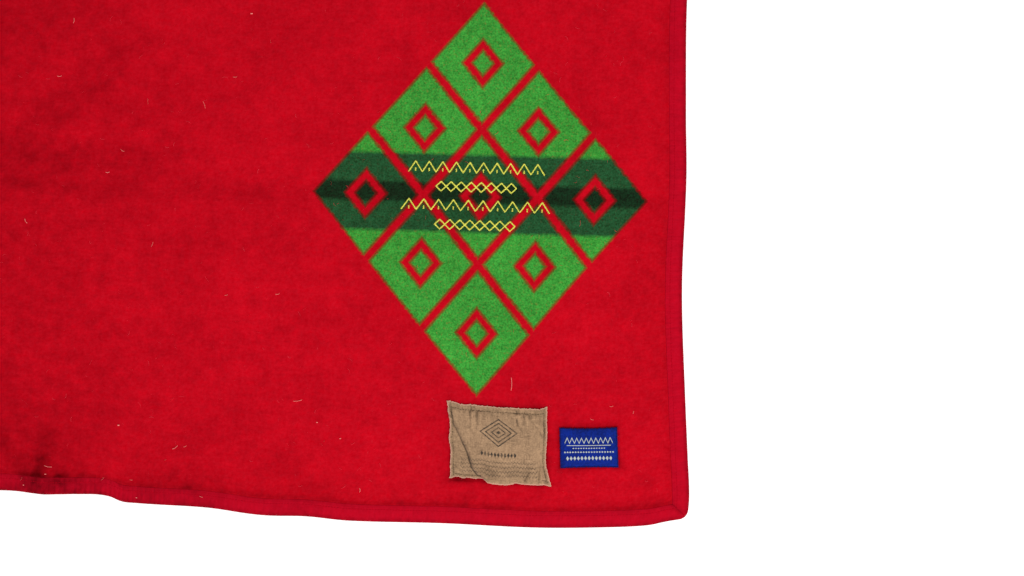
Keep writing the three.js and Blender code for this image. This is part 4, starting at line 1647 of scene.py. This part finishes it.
def random_value(tree, kind, low, high, seed):
    """A random number or vector for each point, between two values."""
    made = add_node(tree, "FunctionNodeRandomValue", data_type=kind)
    sockets = [s for s in made.inputs if s.enabled]
    for socket, value in zip(sockets, (low, high)):
        feed(tree, value, socket)
    feed(tree, seed, made.inputs["Seed"])
    return next(s for s in made.outputs if s.enabled)


def arch(tree, length, rise, thickness, sides, steps):
    """The mesh of a short arched thread along X, on the origin."""
    half = calc(tree, "MULTIPLY", length, 0.5)
    ends = [calc(tree, "MULTIPLY", half, -1.0), half]
    start, end = [add_node(tree, "ShaderNodeCombineXYZ", {0: value}).outputs[0] for value in ends]
    top = add_node(tree, "ShaderNodeCombineXYZ", {2: calc(tree, "MULTIPLY", rise, 2.0)}).outputs[0]
    line = add_node(tree, "GeometryNodeCurveQuadraticBezier", {
        "Resolution": steps, "Start": start, "Middle": top, "End": end,
    }).outputs[0]
    radius = calc(tree, "MULTIPLY", thickness, 0.5)
    circle = add_node(tree, "GeometryNodeCurvePrimitiveCircle", {"Resolution": sides, "Radius": radius})
    inputs = {"Curve": line, "Profile Curve": circle.outputs[0], "Fill Caps": True}
    return add_node(tree, "GeometryNodeCurveToMesh", inputs).outputs[0]


def turned_copies(tree, points, copy, scale, turn, material, facing=(0, 0, 0)):
    """The end of a tree: a copy on each point, turned about its own Z, all as one smooth mesh."""
    placing = {"Points": points, "Instance": copy, "Rotation": facing, "Scale": scale}
    placed = add_node(tree, "GeometryNodeInstanceOnPoints", placing).outputs[0]
    spin = add_node(tree, "ShaderNodeCombineXYZ", {2: turn}).outputs[0]
    turning = {"Instances": placed, "Rotation": spin}
    turned = add_node(tree, "GeometryNodeRotateInstances", turning).outputs[0]
    real = add_node(tree, "GeometryNodeRealizeInstances", {0: turned}).outputs[0]
    smooth = add_node(tree, "GeometryNodeSetShadeSmooth", {0: real}).outputs[0]
    dressing = {"Geometry": smooth, "Material": material}
    return add_node(tree, "GeometryNodeSetMaterial", dressing).outputs[0]


# %% Geometry Nodes: stitches along a path
ROUND_THREAD = {"sides": 5, "steps": 4}
LEAN = 1.5


def make_stitch_tree():
    inputs = {
        "Path": ("Geometry", None),
        "Pitch": ("Float", 0.003),
        "Length": ("Float", 0.0024),
        "Thickness": ("Float", 0.0006),
        "Rise": ("Float", 0.0004),
        "Turn": ("Float", 0.0),
        "Unevenness": ("Float", 0.1),
        "Seed": ("Int", 1),
        "Thread": ("Material", None),
    }
    outputs = {"Mesh": "Geometry"}
    tree, given, result = open_group("GeometryNodeTree", "stitches along a path", inputs, outputs)
    curve = add_node(tree, "GeometryNodeMeshToCurve", {0: given["Path"]}).outputs[0]
    spacing = {"Curve": curve, "Length": given["Pitch"]}
    spaced = add_node(tree, "GeometryNodeResampleCurve", spacing, mode="LENGTH").outputs[0]
    tangent = add_node(tree, "GeometryNodeInputTangent").outputs[0]
    aligned = add_node(
        tree, "FunctionNodeAlignRotationToVector", {"Vector": tangent}, axis="X", pivot_axis="Z"
    ).outputs[0]
    stitch = arch(tree, given["Length"], given["Rise"], given["Thickness"], **ROUND_THREAD)
    uneven = calc(tree, "MULTIPLY", given["Unevenness"], -1.0)
    size = calc(tree, "ADD", 1.0, random_value(tree, "FLOAT", uneven, given["Unevenness"], given["Seed"]))
    scale = add_node(tree, "ShaderNodeCombineXYZ", {0: size, 1: 1.0, 2: 1.0}).outputs[0]
    lean = random_value(tree, "FLOAT", uneven, given["Unevenness"], calc(tree, "ADD", given["Seed"], 5.0))
    turn = calc(tree, "MULTIPLY_ADD", lean, LEAN, given["Turn"])
    sewn = turned_copies(tree, spaced, stitch, scale, turn, given["Thread"], facing=aligned)
    feed(tree, sewn, result["Mesh"])
    return tree


stitch_tree = counted(make_stitch_tree())

# %% Run a tree on a mesh


def grow(name, mesh, tree, values):
    """Runs a tree of Geometry Nodes on a mesh, and keeps what it makes as a plain mesh piece."""
    piece = bpy.data.objects.new(name, mesh)
    scene.collection.objects.link(piece)
    modifier = piece.modifiers.new("grow", "NODES")
    modifier.node_group = tree
    for socket in tree.interface.items_tree:
        if socket.name in values:
            modifier[socket.identifier] = values[socket.name]
    evaluated = piece.evaluated_get(bpy.context.evaluated_depsgraph_get())
    grown = bpy.data.meshes.new_from_object(evaluated)
    piece.modifiers.clear()
    piece.data = grown
    print(f"{name}: {sum(len(p.vertices) - 2 for p in grown.polygons)} triangles")
    return piece


def path_mesh(name, runs):
    """A mesh of edges only, one chain for each run of laid points in millimetres."""
    points, edges = [], []
    for run in runs:
        first = len(points)
        points += in_frame(run).tolist()
        edges += [(first + k, first + k + 1) for k in range(len(run) - 1)]
    mesh = bpy.data.meshes.new(name)
    mesh.from_pydata(points, edges, [])
    return mesh


# %% [markdown]
# The binding is sewn by machine with red thread, five millimetres in from the tape's free edge, and
# the stitches sit in the groove that they draw. They show as a dark, broken line.

# %% Sew the binding
TAPE_STITCH = {"Pitch": 0.0032, "Length": 0.0025, "Thickness": 0.0005, "Rise": 0.0002}
TAPE_RUN = {"short_of_corner": 1, "step": 4, "sunk": 0.1}


def sew_tape(name, side):
    end = side["half"] - STITCH_LINE - TAPE_RUN["short_of_corner"]
    s = even_lines(-end, end, TAPE_RUN["step"])
    across, up = np.full_like(s, STITCH_LINE), np.full_like(s, TOP)
    rise = up + tape_relief(s, across, up, GATHERED[name]) - TAPE_RUN["sunk"]
    run = lay(*side["place"](s, across), rise)
    values = {**TAPE_STITCH, "Thread": MATERIALS["red_thread"]}
    return grow(f"tape_stitches_{name}", path_mesh(name, [run]), stitch_tree, values)


tape_stitches = {name: sew_tape(name, side) for name, side in SIDES.items()}

# %% Sew the labels
LABEL_STITCH = {"Thickness": 0.0004, "Rise": 0.0003, "Unevenness": 0.16}
SEAM_STEP = 1.5
WOVEN_SEAM = {"side": 0.9, "end": 0.8}


def even_path(corners, step):
    """The x and y of points along a bent line, about one step apart, with all its corners."""
    points = []
    for start, end in zip(corners, corners[1:]):
        steps = max(round(math.dist(start, end) / step), 1)
        points += [np.add(start, np.subtract(end, start) * k / steps) for k in range(steps)]
    return np.transpose([*points, corners[-1]])


def label_seam(label, outline, relief, corners):
    """Laid points of a seam on a label, from corner to corner in the label's own coordinates."""
    x, y = even_path(corners, SEAM_STEP)
    place = on_label(label, *outline(x, y))
    return lay(*place, cloth_top(*place) + LABEL_GAP + LABEL_THICK + relief(x, y))


def sew_label(name, run, thread, pitch, length):
    values = {**LABEL_STITCH, "Pitch": pitch, "Length": length, "Thread": MATERIALS[thread]}
    return grow(name, path_mesh(name, [run]), stitch_tree, values)


care_x = CARE_LABEL["width"] / 2 - SEAM["side"]
care_top = CARE_LABEL["height"] / 2 - SEAM["top"]
care_bottom = SEAM["bottom"] - CARE_LABEL["height"] / 2
care_corners = [
    (SEAM["loose_from"], care_bottom),
    (-care_x, care_bottom),
    (-care_x, care_top),
    (care_x, care_top),
    (care_x, care_bottom),
]
care_run = label_seam(CARE_LABEL, care_outline, care_relief, care_corners)
large_stitches = sew_label("label_large_stitches", care_run, "tan_thread", 0.0030, 0.0019)

woven_x = WOVEN_LABEL["width"] / 2 - WOVEN_SEAM["side"]
woven_y = WOVEN_LABEL["height"] / 2 - WOVEN_SEAM["end"]
woven_corners = [
    (-woven_x, -woven_y),
    (woven_x, -woven_y),
    (woven_x, woven_y),
    (-woven_x, woven_y),
    (-woven_x, -woven_y),
]
woven_run = label_seam(WOVEN_LABEL, woven_edges, woven_relief, woven_corners)
small_stitches = sew_label("label_small_stitches", woven_run, "blue_thread", 0.0017, 0.0016)

# %% [markdown]
# The embroidery is satin stitch: thread laid side by side across a narrow line. Four rows, zigzags and
# chains of diamonds in turn, stand in the dark middle of the motif. The same tree sews them, with the
# arches turned across the path and set so close that they touch.

# %% Embroider the motif
EMBROIDERY = [
    {"y": 31, "half": 76, "repeat": 15.2, "height": 11.5, "kind": "zigzag"},
    {"y": 10, "half": 45, "repeat": 22.5, "height": 10.5, "kind": "chain"},
    {"y": -10, "half": 83, "repeat": 16.6, "height": 11.5, "kind": "zigzag"},
    {"y": -31, "half": 45, "repeat": 22.5, "height": 10.5, "kind": "chain"},
]
EMBROIDERY_X = -5
EMBROIDERY_LIFT = 0.15
EMBROIDERY_STEP = 3
TURN_STITCH = (1, 4)
SATIN = {
    "Pitch": 0.00055, "Length": 0.0012, "Thickness": 0.00055, "Rise": 0.0005, "Turn": math.pi / 2,
    "Unevenness": 0.3,
}


def zigzag_run(row, sign, first):
    """A zigzag along the row, whose turns lie half a repeat apart and begin at first from its end."""
    count = round(2 * (row["half"] - first) / (row["repeat"] / 2)) + 1
    turns = [-row["half"] + first + k * row["repeat"] / 2 for k in range(count)]
    half_y = sign * row["height"] / 2
    return [(x, half_y if k % 2 else -half_y) for k, x in enumerate(turns)]


def row_shapes(row):
    """A chain of diamonds is two crossing zigzags. A single zigzag has a small stitch in each turn."""
    if row["kind"] == "chain":
        ends = [(-row["half"], 0)], [(row["half"], 0)]
        return [ends[0] + zigzag_run(row, sign, row["repeat"] / 4) + ends[1] for sign in (1, -1)]
    zigzag = zigzag_run(row, 1, 0)
    foot = -row["height"] / 2
    return [zigzag] + [[(x, foot + up) for up in TURN_STITCH] for x, y in zigzag if y > 0]


def embroidered_row(row):
    """Laid runs of one row, with points close enough together to follow the cloth."""
    laid = []
    for shape in row_shapes(row):
        x, y = even_path(shape, EMBROIDERY_STEP)
        x = x + MOTIF["x"] + EMBROIDERY_X
        y = y + MOTIF["y"] + row["y"]
        laid.append(lay(x, y, cloth_top(x, y) + EMBROIDERY_LIFT))
    return laid


def embroider():
    runs = [run for row in EMBROIDERY for run in embroidered_row(row)]
    values = {**SATIN, "Thread": MATERIALS["yellow_thread"]}
    return grow("embroidery", path_mesh("embroidery", runs), stitch_tree, values)


embroidery = embroider()

# %% [markdown]
# Every wool blanket sheds. Pale hairs and bits of lint lie all over it, each a few millimetres long,
# bent, and pointing anywhere. Their places are drawn at random with a fixed seed, and the tree puts a
# hair on each place, in the size that the place carries and in a random direction.

# %% Geometry Nodes: loose fibres
THREE_SIDED = {"sides": 3, "steps": 4}
LYING = (math.radians(80), 0, 0)
LEAST_SHAPE = (0.7, 0.1, 1.0)
MOST_SHAPE = (1.3, 1.5, 1.0)


def make_fibre_tree():
    inputs = {
        "Places": ("Geometry", None),
        "Length": ("Float", 0.006),
        "Thickness": ("Float", 0.0004),
        "Bend": ("Float", 0.002),
        "Seed": ("Int", 1),
        "Fibre": ("Material", None),
    }
    tree, given, result = open_group("GeometryNodeTree", "loose fibres", inputs, {"Mesh": "Geometry"})
    points = add_node(tree, "GeometryNodeMeshToPoints", {"Mesh": given["Places"]}).outputs[0]
    hair = arch(tree, given["Length"], given["Bend"], given["Thickness"], **THREE_SIDED)
    lying = add_node(tree, "GeometryNodeTransform", {"Geometry": hair, "Rotation": LYING}).outputs[0]
    size, turn = [
        add_node(tree, "GeometryNodeInputNamedAttribute", {"Name": name}, data_type="FLOAT").outputs[0]
        for name in ("size", "turn")
    ]
    shape = random_value(tree, "FLOAT_VECTOR", LEAST_SHAPE, MOST_SHAPE, given["Seed"])
    scale = add_node(tree, "ShaderNodeVectorMath", {0: shape, "Scale": size}, operation="SCALE").outputs[0]
    feed(tree, turned_copies(tree, points, lying, scale, turn, given["Fibre"]), result["Mesh"])
    return tree


fibre_tree = counted(make_fibre_tree())

# %% Sizes and places of the fibres
FIBRES = {"count": 5000, "seed": 4, "sizes": (0.3, 1.05)}
LIFT = {"tape": 0.4, "cloth": 0.3}

# What the tree makes on each place
HAIRS = {
    "loose_fibres": {"Length": 0.0052, "Thickness": 0.00026, "Bend": 0.0008, "Seed": 4},
    "lint": {"Length": 0.0056, "Thickness": 0.00048, "Bend": 0.0006, "Seed": 9},
    "specks": {"Length": 0.0018, "Thickness": 0.0011, "Bend": 0.0, "Seed": 2},
}

# Lint in the photograph: place, size and direction in degrees
LINT = [
    (120, -983.9, 1.3, -8), (90, -1000.6, 0.7, 60), (179, -996.5, 0.8, 50), (247, -965.3, 0.9, 30),
    (257, -951, 1.0, 35), (268, -949.2, 0.8, 25), (288, -1002.9, 0.7, -20), (460.5, -981, 0.9, 88),
    (421, -930.8, 0.8, 50), (390, -889.3, 1.5, 10), (173, -649.5, 1.0, 5), (225, -727.7, 0.9, 70),
    (86, -707.9, 0.9, -60), (189, -625, 0.7, -30), (117, -545, 0.9, 4), (310, -540, 0.9, 4),
    (131, -484, 1.0, 86), (215, -570, 1.0, 96), (277, -572, 1.2, 110), (348, -500, 0.8, 95),
    (624.3, -861, 2.6, 91), (734.1, -883.6, 0.8, 10), (757.5, -890.8, 0.8, 80), (712.3, -897.4, 0.8, -20),
    (308, -779.6, 0.8, 20), (364, -774.7, 0.7, 10),
]

# Round bits of lint: place and size
SPECKS = [
    (210, -989.7, 1.5), (194, -932.7, 1.0), (217, -1008.5, 0.8), (93, -1006.7, 0.8), (437.9, -926.5, 1.0),
    (326, -470, 1.0), (118, -992.4, 0.8), (412, -911.7, 0.7),
]
print(FIBRES["count"], "fibres,", len(LINT), "bits of lint and", len(SPECKS), "round ones")

# %% Strew the fibres


def strew(name, places, material):
    """Puts a fibre on each place of the cloth, given as x, y, size and direction."""
    x, y, sizes, turns = np.transpose(places)
    on_tape = from_hem(x, y) < TAPE["width"]
    rise = np.where(on_tape, TOP + LIFT["tape"], cloth_top(x, y) + LIFT["cloth"])
    mesh = bpy.data.meshes.new(name)
    mesh.from_pydata(in_frame(lay(x, y, rise)).tolist(), [], [])
    for label, values in (("size", sizes), ("turn", np.radians(turns))):
        mesh.attributes.new(label, "FLOAT", "POINT").data.foreach_set("value", values.astype(np.float32))
    return grow(name, mesh, fibre_tree, {**HAIRS[name], "Fibre": MATERIALS[material]})


def scatter():
    """Places all over the cloth in any direction, and many small sizes with a few large ones."""
    random = np.random.default_rng(FIBRES["seed"])
    count = FIBRES["count"]
    x = random.uniform(-1, 1, count) * (half_width - settle_zone)
    y = random.uniform(-1, 1, count) * (half_length - settle_zone)
    sizes = FIBRES["sizes"][0] + random.random(count) ** 2 * np.ptp(FIBRES["sizes"])
    return np.transpose([x, y, sizes, random.uniform(0, 360, count)])


loose_fibres = strew("loose_fibres", scatter(), "loose_fibre")
lint = strew("lint", LINT, "lint")
specks = strew("specks", [(*row, 0) for row in SPECKS], "lint")

# %% [markdown]
# Each piece rides on the frame's one body and stands for its solid.

# %% Join the pieces to the frame
NODES = {"label_care": (label_large, "label_cotton"), "label_woven": (label_small, "label_satin")}
NODES["cloth"] = (blanket_cloth, "blanket_wool")
for name, tape in tapes.items():
    NODES[f"binding_{name}"] = (tape, "binding_tape")
for node, (piece, slot) in NODES.items():
    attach(piece, "root")
    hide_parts(node)

SEWING = {stitches: "binding_tape" for stitches in tape_stitches.values()}
SEWING[large_stitches] = "label_cotton"
SEWING[small_stitches] = "label_satin"
for piece, slot in SEWING.items():
    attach(piece, "root")
on_cloth = [embroidery, loose_fibres, lint, specks]
for piece in on_cloth:
    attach(piece, "root")
print("solids that are stood for:", ", ".join(NODES))
